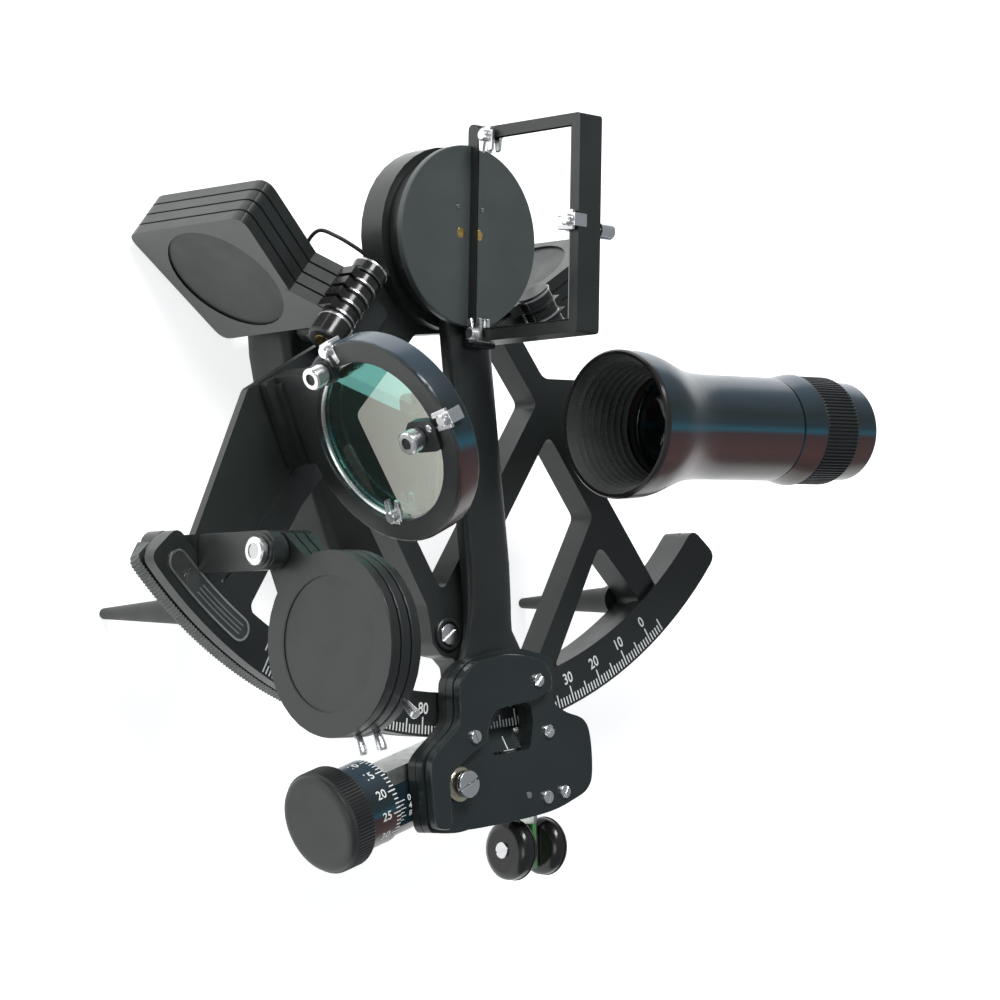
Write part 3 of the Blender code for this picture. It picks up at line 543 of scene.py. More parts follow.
def lettering(text, size):
    """Raised digits, centred on the origin in the XY plane."""
    curve = bpy.data.curves.new("digits", "FONT")
    curve.body = text
    curve.size = size
    curve.align_x = "CENTER"
    curve.align_y = "CENTER"
    curve.resolution_u = 3
    curve.extrude = 0.01
    curve.offset = 0.012 * size
    item = bpy.data.objects.new("digits", curve)
    bpy.context.collection.objects.link(item)
    graph = bpy.context.evaluated_depsgraph_get()
    bm = bmesh.new()
    bm.from_mesh(item.evaluated_get(graph).to_mesh())
    bpy.data.objects.remove(item)
    return bm


def wrapped(bm, radius):
    """Bend a flat drawing round Z: its X runs along the axis and its Y round the drum."""
    for vertex in bm.verts:
        along, around, lift = vertex.co
        a = -around / radius
        r = radius + lift
        vertex.co = (r * math.cos(a), r * math.sin(a), along)
    return bm


def scale_angle(reading):
    return (60 - reading) / 2 + 4.8


# ---------------------------------------------------------------- frame

def draw_frame():
    refine("frame", "cast", 0.6, 3)
    marks = []
    for reading in range(-5, 131):
        long = reading % 10 == 0
        middle = reading % 5 == 0
        inner = 156.2 if long else 157.2 if middle else 158.9
        mark = prism(rectangle(-0.25, -SCALE_RIM, 0.25, -inner), 0.0, 0.05)
        marks.append(moved(mark, Matrix.Rotation(math.radians(scale_angle(reading)), 4, "Z")))
        if long:
            digits = lettering(str(reading), 5.2)
            digits.transform(Matrix.Scale(0.86, 4, (1, 0, 0)))
            digits.transform(Matrix.Translation((0, -SCALE_DIGITS, 0.04)))
            marks.append(moved(digits, Matrix.Rotation(math.radians(scale_angle(reading)), 4, "Z")))
    show("limb_scale", merged(marks), "white", "frame")

    draw_rack()
    draw_badge()

    for name, x, y, top in (("leg_left", -97, -120, -13.3), ("leg_right", 89, -118, -13.3),
                            ("leg_top", -14, -24, -12.3)):
        profile = [(-60, 1.2), (-59.7, 1.6), (-59.2, 1.8), (top - 3.2, 4.55), (top - 2.8, 5.0), (top, 5.2)]
        show(name + "_body", at(lathe(profile, 64), x, y), "rubber", "frame", [name])

    show("lug_screw", at(slotted(3.6, 1.6, 0.12), *LUG_SCREW, -0.9), "chrome", "frame")
    seat = lathe([(-2.3, 4.6), (-1.0, 4.6), (-0.7, 4.3)], 64)
    show("lug_seat", at(seat, *LUG_SCREW), "cast", "frame")
    low = slotted(3.4, 1.5, 0.12)
    low.transform(Matrix.Rotation(math.radians(35), 4, "Z"))
    show("lower_boss_screw", at(low, *LOWER_BOSS, -2.3), "chrome", "frame")
    collar = lathe([(-2.2, 5.4), (-1.2, 5.4), (-0.9, 5.0), (-0.9, 4.2), (-2.2, 4.2)], 64, ring=True)
    show("lower_boss_collar", at(collar, *LOWER_BOSS), "cast", "frame")


def draw_badge():
    """A plain badge on the limb: a rim round a field, with a compass star and three lines."""
    first, last = BADGE_ENDS
    pill = []
    inner = []
    for half, target in ((4.0, pill), (3.25, inner)):
        for k in range(25):
            target.append(polar(BADGE_RADIUS + half, first + (last - first) * k / 24))
        for k in range(1, 12):
            a = math.radians(90 - 180 * k / 12)
            over = math.degrees(half * math.cos(a) / BADGE_RADIUS)
            target.append(polar(BADGE_RADIUS + half * math.sin(a), last + over))
        for k in range(25):
            target.append(polar(BADGE_RADIUS - half, last - (last - first) * k / 24))
        for k in range(1, 12):
            a = math.radians(-90 + 180 * k / 12)
            over = math.degrees(half * math.cos(a) / BADGE_RADIUS)
            target.append(polar(BADGE_RADIUS + half * math.sin(a), first - over))
    show("badge_rim", softened(prism(pill, 0.0, 0.55, [inner]), 0.12, 2), "alloy", "frame")
    show("badge_field", prism(inner, 0.0, 0.3), "badge", "frame")

    star = []
    for k in range(16):
        r = (2.6, 0.75, 1.7, 0.75)[k % 4]
        star.append((r * math.cos(k * math.pi / 8), r * math.sin(k * math.pi / 8)))
    emblem = [at(prism(star, 0.28, 0.42), *polar(BADGE_RADIUS, -45.6))]
    start, end = -43.0, -35.4
    for r in (BADGE_RADIUS + 1.5, BADGE_RADIUS, BADGE_RADIUS - 1.5):
        line = [polar(r + 0.22, start + (end - start) * k / 12) for k in range(13)]
        line += [polar(r - 0.22, end + (start - end) * k / 12) for k in range(13)]
        emblem.append(prism(line, 0.28, 0.4))
    show("badge_emblem", merged(emblem), "steel", "frame")


def draw_rack():
    """The rack under the limb's rim: slanting teeth, with rounded ends."""
    first, last = LIMB_ENDS
    steps = 4 * int((last - first) / RACK_TOOTH)
    sections = []
    for i in range(steps + 1):
        a = first + i * RACK_TOOTH / 4
        from_end = RACK_CORNER_RADIUS * math.radians(min(a - first, last - a))
        tuck = 0.0
        if from_end < RACK_CORNER:
            tuck = RACK_CORNER - math.sqrt(RACK_CORNER ** 2 - (RACK_CORNER - from_end) ** 2)
        radius = (RACK_ROOT if i % 4 < 2 else RACK_CREST) - tuck
        row = []
        for slant, height in ((-0.4, RACK_TOP), (0.4, RACK_BOTTOM)):
            row.append((*polar(radius, min(max(a + slant, first), last)), height))
        row.append((*polar(RACK_INNER, a), RACK_BOTTOM))
        row.append((*polar(RACK_INNER, a), RACK_TOP))
        sections.append(row)
    show("rack_teeth", loft(sections), "rack", "frame", ["toothed_rack"], 12)


def draw_handle():
    refine("handle_grip", "rubber", 1.2, 3)
    refine("handle_post_top", "cast", 0.3)
    refine("handle_post_bottom", "cast", 0.3)
    refine("battery_cap", "cast", 0.3)
    refine("battery", "alloy", 0.3)
    refine("light_button", "rubber", 0.3)


# ---------------------------------------------------------------- index arm

ARM_TURN = Matrix.Rotation(math.radians(ARM_ANGLE), 4, "Z")


def to_arm(bm):
    return moved(bm, ARM_TURN)


def curve_point(a, b, c, d, t):
    """The point at t between b and c on the smooth curve through four points."""
    a, b, c, d = (Vector(p) for p in (a, b, c, d))
    return 0.5 * (2 * b + (c - a) * t + (2 * a - 5 * b + 4 * c - d) * t ** 2
                  + (3 * b - a - 3 * c + d) * t ** 3)


def smooth_loop(points, steps=8):
    result = []
    for i in range(len(points)):
        near = [points[(i + k) % len(points)] for k in (-1, 0, 1, 2)]
        result += [tuple(curve_point(*near, k / steps)) for k in range(steps)]
    return result


def arm_outline():
    return smooth_loop([(-16, -137.5), (-5, -135.5), (5, -135.3), (14, -137.5), (22, -141), (22.8, -148),
                        (21, -154.4), (26, -158.8), (34, -162.5), (36.5, -168.5), (35.8, -180.5),
                        (33, -185.5), (27, -188), (13, -190.8), (-15, -191.3), (-35, -190.2),
                        (-39.6, -188.6), (-40.3, -183),
                        (-40.3, -172), (-38.6, -165.4), (-26, -156.4), (-24, -147.4), (-22.4, -142)])


def cover_outline():
    return smooth_loop([(1.1, -136.8), (-9.3, -136.7), (-16.7, -137.9), (-22.6, -142.4), (-23.8, -147.4),
                        (-25.9, -156.4), (-38.2, -165.6), (-39.9, -178.7), (-39.8, -186.5), (-38, -188.6),
                        (-33.2, -188.6), (-32.2, -181.8), (-31, -172.7), (-23.2, -167.6), (-14.4, -163.6),
                        (-12.8, -159.7), (-10.1, -155.4), (-6.2, -153.8), (8.5, -153.1), (13.8, -151.4),
                        (17.4, -150.2), (17.5, -144.7), (13.1, -139.9)])


def window():
    return rounded([(-9.5, -160.5), (-2.5, -153.8), (10.5, -153.8), (11, -160), (8.5, -169), (-9, -169)], 2.5)


def draw_arm():
    draw_arm_beam()
    disc = lathe([(9.6, 28.9), (9.8, 29.3), (10.2, 29.7), (12.0, 29.7), (12.4, 29.5), (12.6, 29.0)], 160)
    show("index_disc_body", disc, "disc", "arm", ["index_disc"])
    # painted shade: a thin black disc round the screw stands for the shade in its hole
    show("disc_screw_painted_shade", at(lathe([(12.55, 1.0), (12.64, 1.0)], 24), *DISC_SCREW), "inside", "arm")
    show("disc_screw", at(slotted(0.8, 0.3, 0.14, 0.6, 0.1), *DISC_SCREW, 12.5), "steel", "arm")
    show("disc_pin", at(lathe([(12.5, 1.7), (12.66, 1.7), (12.72, 1.5)], 32), -4.0, 0.9), "brass", "arm")
    show("pivot_shaft_body", lathe([(-9.8, 6.2), (-9.4, 6.6), (-7.2, 6.6), (-7.2, 4.0), (9.2, 4.0)], 64),
         "steel", "arm", ["pivot_shaft"])
    bush = lathe([(-6.8, 7.0), (2.8, 7.0), (2.8, 4.06), (-6.8, 4.06)], 64, ring=True)
    show("pivot_bush_body", bush, "brass", "frame", ["pivot_bush"])

    big_hole = circle(*CARRIER_SCREW, 3.5, 32)
    plate = prism(arm_outline(), 4.9, 8.0, [window(), big_hole])
    show("housing_plate_body", to_arm(softened(plate, 0.7, 3)), "plate", "arm", ["housing_plate"])
    cover = softened(prism(cover_outline(), 8.1, 12.0), 1.0, 4)
    show("housing_cover_body", to_arm(cover), "plate", "arm", ["housing_cover"])

    refine("index_pointer", "plate", 0.15)
    line = prism(rectangle(1.6, -168.2, 2.0, -163.9), 0.0, 0.06)
    for vertex in line.verts:
        vertex.co.z += 1.92 + 2.5 * (-163.6 - vertex.co.y) / 4.8
    show("index_line", to_arm(line), "white", "arm")

    for i, (x, y, base, angle) in enumerate(((11, -146.6, 12.0, 40), (-19.5, -161.2, 12.0, 110),
                                             (17.3, -164.3, 8.0, 25), (13.9, -185.7, 8.0, 80),
                                             (21.9, -185, 8.0, 60))):
        head = slotted(2.15, 1.1, 0.11, 0.6, 0.5)
        head.transform(Matrix.Rotation(math.radians(angle), 4, "Z"))
        show(f"housing_screw_{i + 1}", to_arm(at(head, x, y, base)), "chrome", "arm")
    pin = at(lathe([(7.9, 1.1), (8.25, 1.1), (8.4, 0.8)], 32), 5.8, -183.9)
    show("housing_pin", to_arm(pin), "steel", "arm")
    big = slotted(4.4, 4.2, 0.08, 0.3, 0.35)
    big.transform(Matrix.Rotation(math.radians(18), 4, "Z"))
    big = to_arm(at(big, *CARRIER_SCREW, 9.7))
    show("carrier_pivot_head", big, "chrome", "arm", ["carrier_pivot_screw"])
    gold = lathe([(8.05, 5.3), (8.3, 5.7), (9.3, 5.7), (9.6, 5.3), (9.6, 3.2), (8.05, 3.2)], 64, ring=True)
    show("carrier_pivot_washer", to_arm(at(gold, *CARRIER_SCREW)), "gold", "arm")
    shank = lathe([(-5, 2.6), (-4.6, 3.0), (9.7, 3.0)], 48)
    show("carrier_pivot_shank", to_arm(at(shank, *CARRIER_SCREW)), "steel", "arm")


def draw_arm_beam():
    """The arm: a round head under the disc, a crowned beam, and a broad end under the housing."""
    sections = []
    spans = ((-8, 9.5, 3.5, 9.2), (-30, 9.5, 3.6, 9.2), (-34, 9.2, 3.2, 10.4), (-108, 9.2, 2.0, 9.1),
             (-116, 9.2, 1.9, 8.2), (-122, 9.4, 1.7, 7.2), (-126, 9.8, 1.5, 5.9), (-130, 10.4, 1.35, 4.7),
             (-134.4, 12.6, 1.35, 4.55), (-142, 16, 1.35, 4.55))
    for along, half, low, high in spans:
        row = [(-half, along, low), (half, along, low)]
        for k in range(25):
            a = math.pi * k / 24
            across = abs(math.cos(a)) ** 0.7 * math.copysign(1, math.cos(a))
            row.append((half * across, along, low + (high - low) * (0.27 + 0.7 * math.sin(a) ** 0.75)))
        sections.append(row)
    head = lathe([(3.3, 26.6), (3.6, 27.0), (8.9, 27.0), (9.3, 26.6)], 128)
    flare = softened(prism(arm_outline(), 1.3, 4.6, [window()]), 0.5, 2)
    for name, solid in (("head", head), ("beam", loft(sections)), ("end", flare)):
        show("index_arm_" + name, to_arm(solid), "cast", "arm", ["index_arm"], 40)


def draw_index_mirror():
    axes = upright((0, 0, 0), MIRROR_ANGLE)
    refine("index_mirror_frame", "cast", 0.7, 3)
    glass_plate = prism(rectangle(-30.9, 16.1, 30.9, 58.9), -0.1, 3.0)
    show("index_mirror_silvered", moved(softened(glass_plate, 0.25, 1), axes), "mirror", "arm",
         ["index_mirror_glass"])
    refine("index_mirror_screw", "chrome", 0.3)
    for name, u, z, turn in (("upper", 32.6, 21.5, -90), ("middle", 0.5, 61.5, 0),
                             ("lower", -33.4, 17.5, 90)):
        clip = claw_clip()
        clip.transform(Matrix.Scale(CLIP_SCALE, 4))
        clip.transform(Matrix.Rotation(math.radians(turn), 4, "Z"))
        clip = moved(at(clip, u, z, 0.2), axes.copy())
        show(f"index_mirror_clip_{name}", clip, "chrome", "arm", smooth=40)


def claw_clip():
    """A small bright clip over a mirror's edge: a bent strip with two tips and a round nut."""
    strip = [(-2.2, -4.2), (-1.0, -4.6), (-0.5, -1.6), (0.5, -1.6),
             (1.0, -4.6), (2.2, -4.2), (2.4, 0.6), (-2.4, 0.6)]
    face = softened(prism(strip, -1.9, -1.0), 0.2, 2)
    bridge = softened(prism(rectangle(-1.6, 0.2, 1.6, 1.4), -1.9, 2.2), 0.3, 2)
    nut = at(lathe([(-3.3, 1.2), (-3.0, 1.5), (-1.6, 1.5)], 24), 0, -0.6)
    return merged([face, bridge, nut])


# ---------------------------------------------------------------- micrometer

def draw_terminals():
    """Two small screws and a tag where the arm's wire starts."""
    for i, x in enumerate((-14.2, -8.9)):
        head = slotted(1.5, 0.8, 0.14, 0.6, 0.2)
        head.transform(Matrix.Rotation(math.radians(90), 4, "X"))
        show(f"wire_terminal_{i + 1}", at(head, x, -191.0, -0.2), "steel", "arm")
    tag = softened(prism(rectangle(-16.2, -191.3, -7.0, -190.4), -1.8, 1.3), 0.2, 2)
    show("wire_tag", tag, "steel", "arm")


def draw_micrometer():
    axes = upright(KNOB_FACE, WORM_ANGLE)
    refine("worm_carrier", "alloy", 0.4)
    refine("index_sleeve", "painted_reflection_gloss", 0.2)

    drum = lathe([(10.9, 13.6), (11.3, 14.0), (23.8, 14.0), (24.2, 13.6), (24.2, 3.3), (10.9, 3.3)],
                 160, ring=True)
    show("drum_body", moved(drum, axes.copy()), "painted_reflection_gloss", "drum", ["micrometer_drum"])
    marks = []
    for i in range(60):
        long = i % 5 == 0
        mark = prism(rectangle(20.9 if long else 22.2, -0.2, 24.0, 0.2), 0.0, 0.04)
        wrapped(mark, DRUM_RADIUS)
        turn = Matrix.Rotation(math.radians(i * 6.0 + DRUM_ZERO), 4, "Z")
        marks.append(moved(mark, turn))
        if long:
            digits = lettering(str(i), 4.1)
            digits.transform(Matrix.Translation((18.0, 0, 0.03)))
            wrapped(digits, DRUM_RADIUS)
            marks.append(moved(digits, turn))
    show("drum_scale", moved(merged(marks), axes.copy()), "white", "drum")

    vernier = []
    for i in range(6):
        mark = prism(rectangle(24.7, -0.15, 27.0 if i % 2 == 0 else 26.2, 0.15), 0.0, 0.04)
        wrapped(mark, SLEEVE_RADIUS)
        turn = Matrix.Rotation(math.radians(VERNIER_ZERO + i * VERNIER_STEP), 4, "Z")
        vernier.append(moved(mark, turn))
        if i % 2 == 0:
            digits = lettering(str(i * 2), 2.9)
            digits.transform(Matrix.Translation((29.0, 0, 0.03)))
            wrapped(digits, SLEEVE_RADIUS)
            vernier.append(moved(digits, turn))
    show("sleeve_scale", moved(merged(vernier), axes.copy()), "white", "carrier")

    grip = ridged([(1.6, 16.1, 0), (2.4, 16.9, 0), (2.9, 16.95, 1), (9.4, 16.95, 1), (9.9, 16.7, 0),
                   (10.5, 16.0, 0)], 90, 0.45)
    show("knob_grip", moved(grip, axes.copy()), "rubber", "drum", ["micrometer_knob"], 25)
    face = lathe([(0.0, 0.0), (0.0, 13.2), (0.15, 14.2), (0.5, 15.2), (1.0, 15.9), (1.7, 16.2),
                  (2.2, 15.8)], 160)
    show("knob_face", moved(face, axes.copy()), "knob", "drum")

    turns = 9
    thread = []
    for i in range(turns * 24 + 1):
        a = 2 * math.pi * i / 24
        height = 70.0 + 12.6 * i / (turns * 24)
        row = []
        for radius, shift in ((2.8, -0.55), (4.6, -0.2), (4.6, 0.2), (2.8, 0.55)):
            row.append((radius * math.cos(a), radius * math.sin(a), height + shift))
        thread.append(row)
    worm = merged([lathe([(14, 2.9), (69, 2.9), (69.6, 3.4), (83.4, 3.4), (84, 2.9), (85, 2.9), (85.4, 1.6),
                          (101.5, 1.6)], 48), loft(thread)])
    show("worm_thread", moved(worm, axes.copy()), "steel", "drum", ["worm_shaft"])

    for name, x, width, y, radius, body in (("fixed_pad", 21.0, 7.5, -200.3, 10.0, "arm"),
                                            ("release_pad", 36.1, 6.9, -199.8, 9.5, "carrier")):
        profile = [(0, radius - 3), (0.2, radius - 2.4), (0.8, radius - 1.1), (1.8, radius - 0.2),
                   (2.8, radius), (width - 2.2, radius), (width - 1.0, radius - 0.5),
                   (width - 0.3, radius - 1.3), (width, radius - 2.4)]
        spin = upright((x, y, -1.0), 0)
        show(name + "_body", moved(lathe(profile, 96), spin), "pad", body, [name])
        groove = lathe([(width - 2.4, radius - 0.1), (width - 2.4, radius + 0.25),
                        (width - 1.9, radius + 0.1)], 96)
        show(name + "_groove", moved(groove, spin.copy()), "pad", body)
        if name == "fixed_pad":
            head = slotted(2.7, 0.7, 0.12, 0.6, 0.2)
            head.transform(Matrix.Rotation(math.pi, 4, "X"))
            head.transform(Matrix.Rotation(math.radians(75), 4, "Z"))
            show("pad_screw", moved(head, spin.copy()), "chrome", body)
    refine("fixed_lever", "green", 0.3)
    refine("release_lever", "alloy", 0.3)


# ---------------------------------------------------------------- horizon mirror

def draw_horizon_mirror():
    axes = upright(RING_CENTRE, RING_ANGLE)
    refine("horizon_mirror_frame", "cast", 0.35, 2)
    ring = lathe([(-6.1, 26.6), (-6.1, 32.3), (-5.6, 33.1), (-4.9, 33.4), (2.0, 33.4), (2.8, 33.0),
                  (3.1, 32.3), (3.1, 28.8), (-3, 28.8), (-3, 26.3), (-5.6, 26.3)], 192, ring=True)
    show("horizon_ring_rim", moved(ring, axes), "painted_reflection_gloss", "frame")
    face = lathe([(-6.2, 26.5), (-6.2, 32.2), (-5.9, 32.7), (-5.4, 33.2), (-5.4, 26.2), (-5.9, 26.2)],
                 192, ring=True)
    show("horizon_ring_face", moved(face, axes.copy()), "cast", "frame")
    disc = lathe([(-2.7, 28.2), (-2.3, 28.6), (-0.1, 28.6), (0.3, 28.2)], 160)
    show("horizon_glass_disc", moved(disc, axes.copy()), "splitter", "frame", ["horizon_glass"])
    bezel = lathe([(-4.4, 26.25), (-4.0, 25.7), (-3.2, 25.7), (-3.2, 26.25)], 160, ring=True)
    show("horizon_bezel", moved(bezel, axes.copy()), "chrome", "frame")
    for side, place in HORIZON_SCREWS.items():
        name = "horizon_screw_" + side
        barrel = lathe([(-13.2, 1.9), (-13.2, 3.2), (-12.8, 3.6), (-12.4, 3.7), (-9.4, 3.7), (-9.0, 3.3),
                        (-7.7, 3.3), (-7.7, 1.6), (-3.1, 1.6), (-3.1, 1.2), (-12.0, 1.2), (-12.0, 1.9)],
                       48, ring=True)
        place = axes @ Matrix.Translation((*place, 0))
        show(name + "_body", moved(barrel, place), "chrome", name, [name])
        # painted shade: a black disc set into the screw's socket stands for the shade inside it
        socket_shade_disc = lathe([(-12.6, 1.95), (-11.9, 1.95)], 32)
        show(name + "_socket_painted_shade", moved(socket_shade_disc, place.copy()), "inside", name)
    for i, (angle, radius) in enumerate(((-17, 33.2), (80, 33.8), (190, 25.4))):
        clip = claw_clip()
        clip.transform(Matrix.Scale(CLIP_SCALE, 4))
        clip.transform(Matrix.Translation((0, radius, -4.0)))
        clip.transform(Matrix.Rotation(math.radians(angle - 90), 4, "Z"))
        show(f"horizon_clip_{i + 1}", moved(clip, axes.copy()), "chrome", "frame", smooth=40)
    pin = lathe([(-8.0, 0.9), (-7.8, 1.2), (-7.0, 1.2)], 24)
    show("tongue_pin", moved(at(pin, 3.6, 25.6), axes.copy()), "chrome", "frame")


# ---------------------------------------------------------------- shades

def draw_horizon_shades():
    axes = upright((0, 0, 0), 0)
    refine("horizon_shade_post", "cast", 0.5, 3)
    y, z = HORIZON_SHADE_PIVOT
    pin = lathe([(-109.8, 2.5), (-109.8, 3.7), (-109.4, 4.3), (-108.9, 4.4), (-107.6, 4.4), (-107.6, 2.5),
                 (-87.7, 2.5), (-87.7, 4.2), (-86.2, 4.2), (-86.2, 1.0), (-109.3, 1.0), (-109.3, 2.5)],
                48, ring=True)
    show("horizon_shade_pivot", moved(at(pin, y, z), axes.copy()), "chrome", "frame", ["horizon_shade_pin"])
    hexagon = [(y + 2.5 * math.cos(k * math.pi / 3), z + 2.5 * math.sin(k * math.pi / 3)) for k in range(6)]
    show("horizon_shade_hex", moved(prism(hexagon, -109.5, -109.1), axes.copy()), "steel", "frame")
    for i in range(3):
        low = HORIZON_SHADE_FIRST + HORIZON_SHADE_PITCH * i
        high = low + HORIZON_SHADE_THICK
        body = f"horizon_shade_{i + 1}"
        refine(f"horizon_shade_frame_{i + 1}", "shade_rim", 0.35, 2)
        rim = [(low - 0.05, 27.4), (low + 0.05, 27.9), (low + 0.45, 28.2), (high - 0.45, 28.2), (high, 27.7),
               (high, 21.0), (low - 0.05, 21.0)]
        ring = at(lathe(rim, 160, ring=True), *HORIZON_SHADE_CENTRE)
        show(f"{body}_rim", moved(ring, axes.copy()), "shade_rim", body)
        glass_disc = at(lathe([(low + 0.35, 20.7), (high - 0.5, 20.7)], 128), *HORIZON_SHADE_CENTRE)
        show(f"{body}_pane", moved(glass_disc, axes.copy()), "shade", body, [f"horizon_shade_glass_{i + 1}"])
    for i, (x, tail, tip, wide) in enumerate(((-90, (-149, 74.4), (-153.6, 80.2), 1.7),
                                              (-95, (-156.5, 58.4), (-165.4, 61.6), 1.7),
                                              (-90, (-155.8, 61.2), (-164.1, 65), 1.7))):
        a, b = Vector((*tail, x)), Vector((*tip, x))
        turn = (b - a).to_track_quat("Z", "Y").to_matrix().to_4x4()
        length = (b - a).length
        finger = lathe([(0, wide * 0.6), (length * 0.85, wide), (length * 0.96, wide * 0.9),
                        (length, wide * 0.6)], 32)
        finger.transform(Matrix.Translation(a) @ turn)
        show(f"horizon_shade_finger_{i + 1}", moved(finger, axes.copy()), "chrome",
             f"horizon_shade_{(3, 2, 3)[i]}")


def draw_index_shades():
    axes = upright((0, 0, 0), INDEX_SHADE_ANGLE)
    refine("index_shade_post", "cast", 0.3)
    x, z = INDEX_SHADE_PIVOT
    for name, low, high in (("front", -64.8, -56.4), ("back", -37.8, -33.1)):
        collar = [(low, 4.2), (low + 0.2, 5.4), (low + 0.9, 5.95), (high - 0.5, 5.95), (high, 5.5)]
        show(f"shade_collar_{name}", moved(at(lathe(collar, 64), x, z), axes.copy()), "pad", "frame")
        band = lathe([(high - 1.2, 5.9), (high - 1.1, 6.05), (high - 0.5, 6.05), (high - 0.4, 5.9)], 64)
        show(f"shade_band_{name}", moved(at(band, x, z), axes.copy()), "steel", "frame")
    end = slotted(3.0, 0.5, 0.14, 0.6, 0.1)
    end.transform(Matrix.Rotation(math.pi, 4, "X"))
    end.transform(Matrix.Rotation(math.radians(50), 4, "Z"))
    show("shade_collar_slot", moved(at(end, x, z, -64.7), axes.copy()), "brass", "frame")
    for i in range(4):
        low = INDEX_SHADE_FIRST + INDEX_SHADE_PITCH * i
        body = f"index_shade_{i + 1}"
        refine(f"index_shade_frame_{i + 1}", "shade_plate_painted_reflection", 0.4, 2)
        knuckle = lathe([(low + 0.1, 5.0), (low + 0.4, 5.75), (low + 3.6, 5.75), (low + 3.9, 5.0)], 64)
        show(f"{body}_knuckle", moved(at(knuckle, x, z), axes.copy()), "pad", body)
        band = lathe([(low + 0.2, 5.6), (low + 0.35, 5.95), (low + 1.0, 5.95), (low + 1.15, 5.6)], 64)
        show(f"{body}_band", moved(at(band, x, z), axes.copy()), "steel", body)
        block = softened(prism(rectangle(x + 3.0, z - 3.4, x + 7.6, z + 3.4), low + 0.3, low + 3.6), 0.3, 2)
        show(f"{body}_block", moved(block, axes.copy()), "pad", body)
        pane = at(lathe([(low + 0.85, 21.25), (low + 3.3, 21.25)], 128), *INDEX_SHADE_CENTRE)
        show(f"{body}_pane", moved(pane, axes.copy()), "shade", body, [f"index_shade_glass_{i + 1}"])


# ---------------------------------------------------------------- telescope

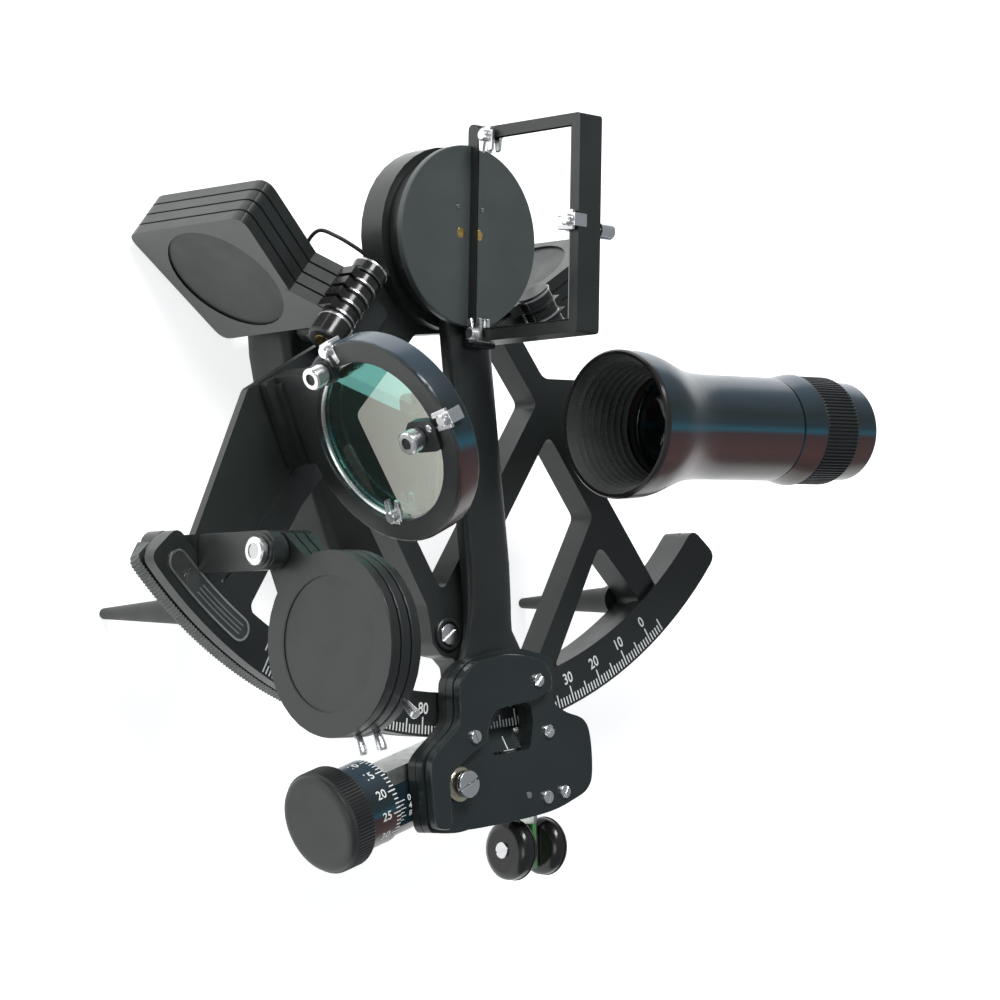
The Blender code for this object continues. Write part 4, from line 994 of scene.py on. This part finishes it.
def draw_telescope():
    axes = upright(SCOPE_AXIS, 0)
    outside = [(40.0, 23.0), (40.1, 23.9), (40.6, 24.3), (43, 24.4), (47, 24.3), (50, 24.0), (53, 23.3),
               (56, 22.3), (60, 20.9), (64, 19.6), (68, 18.6), (72, 18.0), (76, 17.7), (82, 17.55),
               (112.9, 17.55), (113.3, 17.2), (113.4, 16.3), (114.0, 16.3), (114.2, 17.2), (116, 17.5),
               (119, 18.2), (122, 18.8), (123.3, 18.95), (123.8, 18.4), (123.8, 15.1), (71.8, 15.1),
               (71.8, 17.7), (62, 19.4), (44, 22.9)]
    show("scope_tube", moved(lathe(outside, 160, ring=True), axes), "painted_reflection_gloss", "frame", ["scope_body"], 45)
    rim = lathe([(39.9, 22.9), (39.9, 23.9), (40.5, 24.45), (41.3, 24.5), (41.3, 22.9)], 160, ring=True)
    show("scope_rim", moved(rim, axes.copy()), "pad", "frame")
    inside = [(40.05, 22.95), (40.05, 23.0), (44, 22.95), (64, 18.9), (64, 18.4)]
    height = 63.5
    while height > 43.5:
        radius = 18.2 + 4.3 * (64.0 - height) / 20.5
        inside += [(height, radius), (height - 0.5, radius - 1.3), (height - 0.9, radius - 1.3),
                   (height - 1.3, radius + 0.1)]
        height -= 2.6
    show("scope_baffles", moved(lathe(inside, 160, ring=True), axes.copy()), "baffle", "frame", smooth=45)
    lens = [(65.0, 0.01), (65.1, 5), (65.6, 10), (66.6, 17.0), (70.4, 17.3), (71.2, 10), (71.5, 0.01)]
    show("objective_lens", moved(lathe(lens, 128), axes.copy()), "lens", "frame", ["scope_objective"])
    cell = lathe([(64.4, 17.4), (64.4, 15.6), (66.4, 15.9), (66.4, 17.4)], 128, ring=True)
    show("objective_cell", moved(cell, axes.copy()), "inside", "frame")

    knurl = ridged([(124.2, 17.6, 0), (124.6, 18.2, 0), (125.0, 18.45, 1), (139.4, 18.45, 1),
                    (139.8, 18.2, 0), (140.2, 17.6, 0)], 92, 0.6)
    show("focus_knurl", moved(knurl, axes.copy()), "rubber", "focus_ring", ["focus_ring"], 25)
    tube = lathe([(100, 14.8), (140.7, 14.8), (140.7, 16.5), (141.0, 16.8), (150.2, 16.8), (150.9, 16.4),
                  (151.2, 15.8), (151.2, 12.8), (148.9, 9.6), (145.7, 9.5), (145.7, 12.8), (100, 12.8)],
                 160, ring=True)
    show("eyepiece_tube", moved(tube, axes.copy()), "painted_reflection_gloss", "scope_eyepiece", ["scope_eyepiece"], 45)
    eye = lathe([(139.7, 0.01), (140.3, 9), (141.9, 12.6), (143.7, 12.6), (144.7, 9), (145.1, 0.01)], 96)
    show("eye_lens", moved(eye, axes.copy()), "lens", "scope_eyepiece")
    refine("scope_bracket", "cast", 0.6, 3)
    screw_axes = upright((81, -51, 9), 90)
    head = ridged([(0.3, 6.4, 0), (0.7, 6.8, 0), (0.9, 7.0, 1), (6.6, 7.0, 1), (6.8, 6.8, 0), (7.2, 6.2, 0)],
                  36, 0.45)
    show("thumbscrew_head", moved(head, screw_axes), "chrome", "scope_thumbscrew", ["scope_thumbscrew"], 25)


# ---------------------------------------------------------------- cords

def cord(name, node, route, radius):
    points = []
    padded = [route[0], *route, route[-1]]
    for near in zip(padded, padded[1:], padded[2:], padded[3:]):
        points += [curve_point(*near, k / 10) for k in range(10)]
    points.append(Vector(route[-1]))
    places = [(p + ORIGIN) / 1000 for p in points]
    curve = bpy.data.curves.new(name, "CURVE")
    curve.dimensions = "3D"
    curve.bevel_depth = radius / 1000
    curve.bevel_resolution = 4
    curve.use_fill_caps = True
    spline = curve.splines.new("POLY")
    spline.points.add(len(places) - 1)
    for target, place in zip(spline.points, places):
        target.co = (*place, 1)
    curve.materials.append(MATERIALS["rubber"])
    item = bpy.data.objects.new(name, curve)
    bpy.context.collection.objects.link(item)
    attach(item, NODE_BODY[node])
    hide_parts(node)


def draw_cords():
    cord("frame_wire", "frame_light_wire", [(-30.6, -6.8, -3.5), (-34.5, -4.4, -4), (-40.5, -0.5, -7),
                                            (-44, 1.5, -12), (-43, -3.5, -20), (-39, -12.5, -29),
                                            (-36.8, -22.2, -37)], 0.65)
    cord("arm_wire", "arm_light_wire", [(-12.9, -191.9, -0.9), (-6.7, -192.9, -0.9), (1.3, -193.0, -0.9),
                                        (7.2, -191.8, -1), (11.5, -189.8, -1.3), (15, -187.2, -2),
                                        (17.5, -184.6, -3)], 0.6)


MATERIALS = make_materials()
make_camera()
make_studio()
draw_cords()
draw_frame()
draw_handle()
draw_arm()
draw_index_mirror()
draw_terminals()
draw_micrometer()
draw_horizon_mirror()
draw_horizon_shades()
draw_index_shades()
draw_telescope()
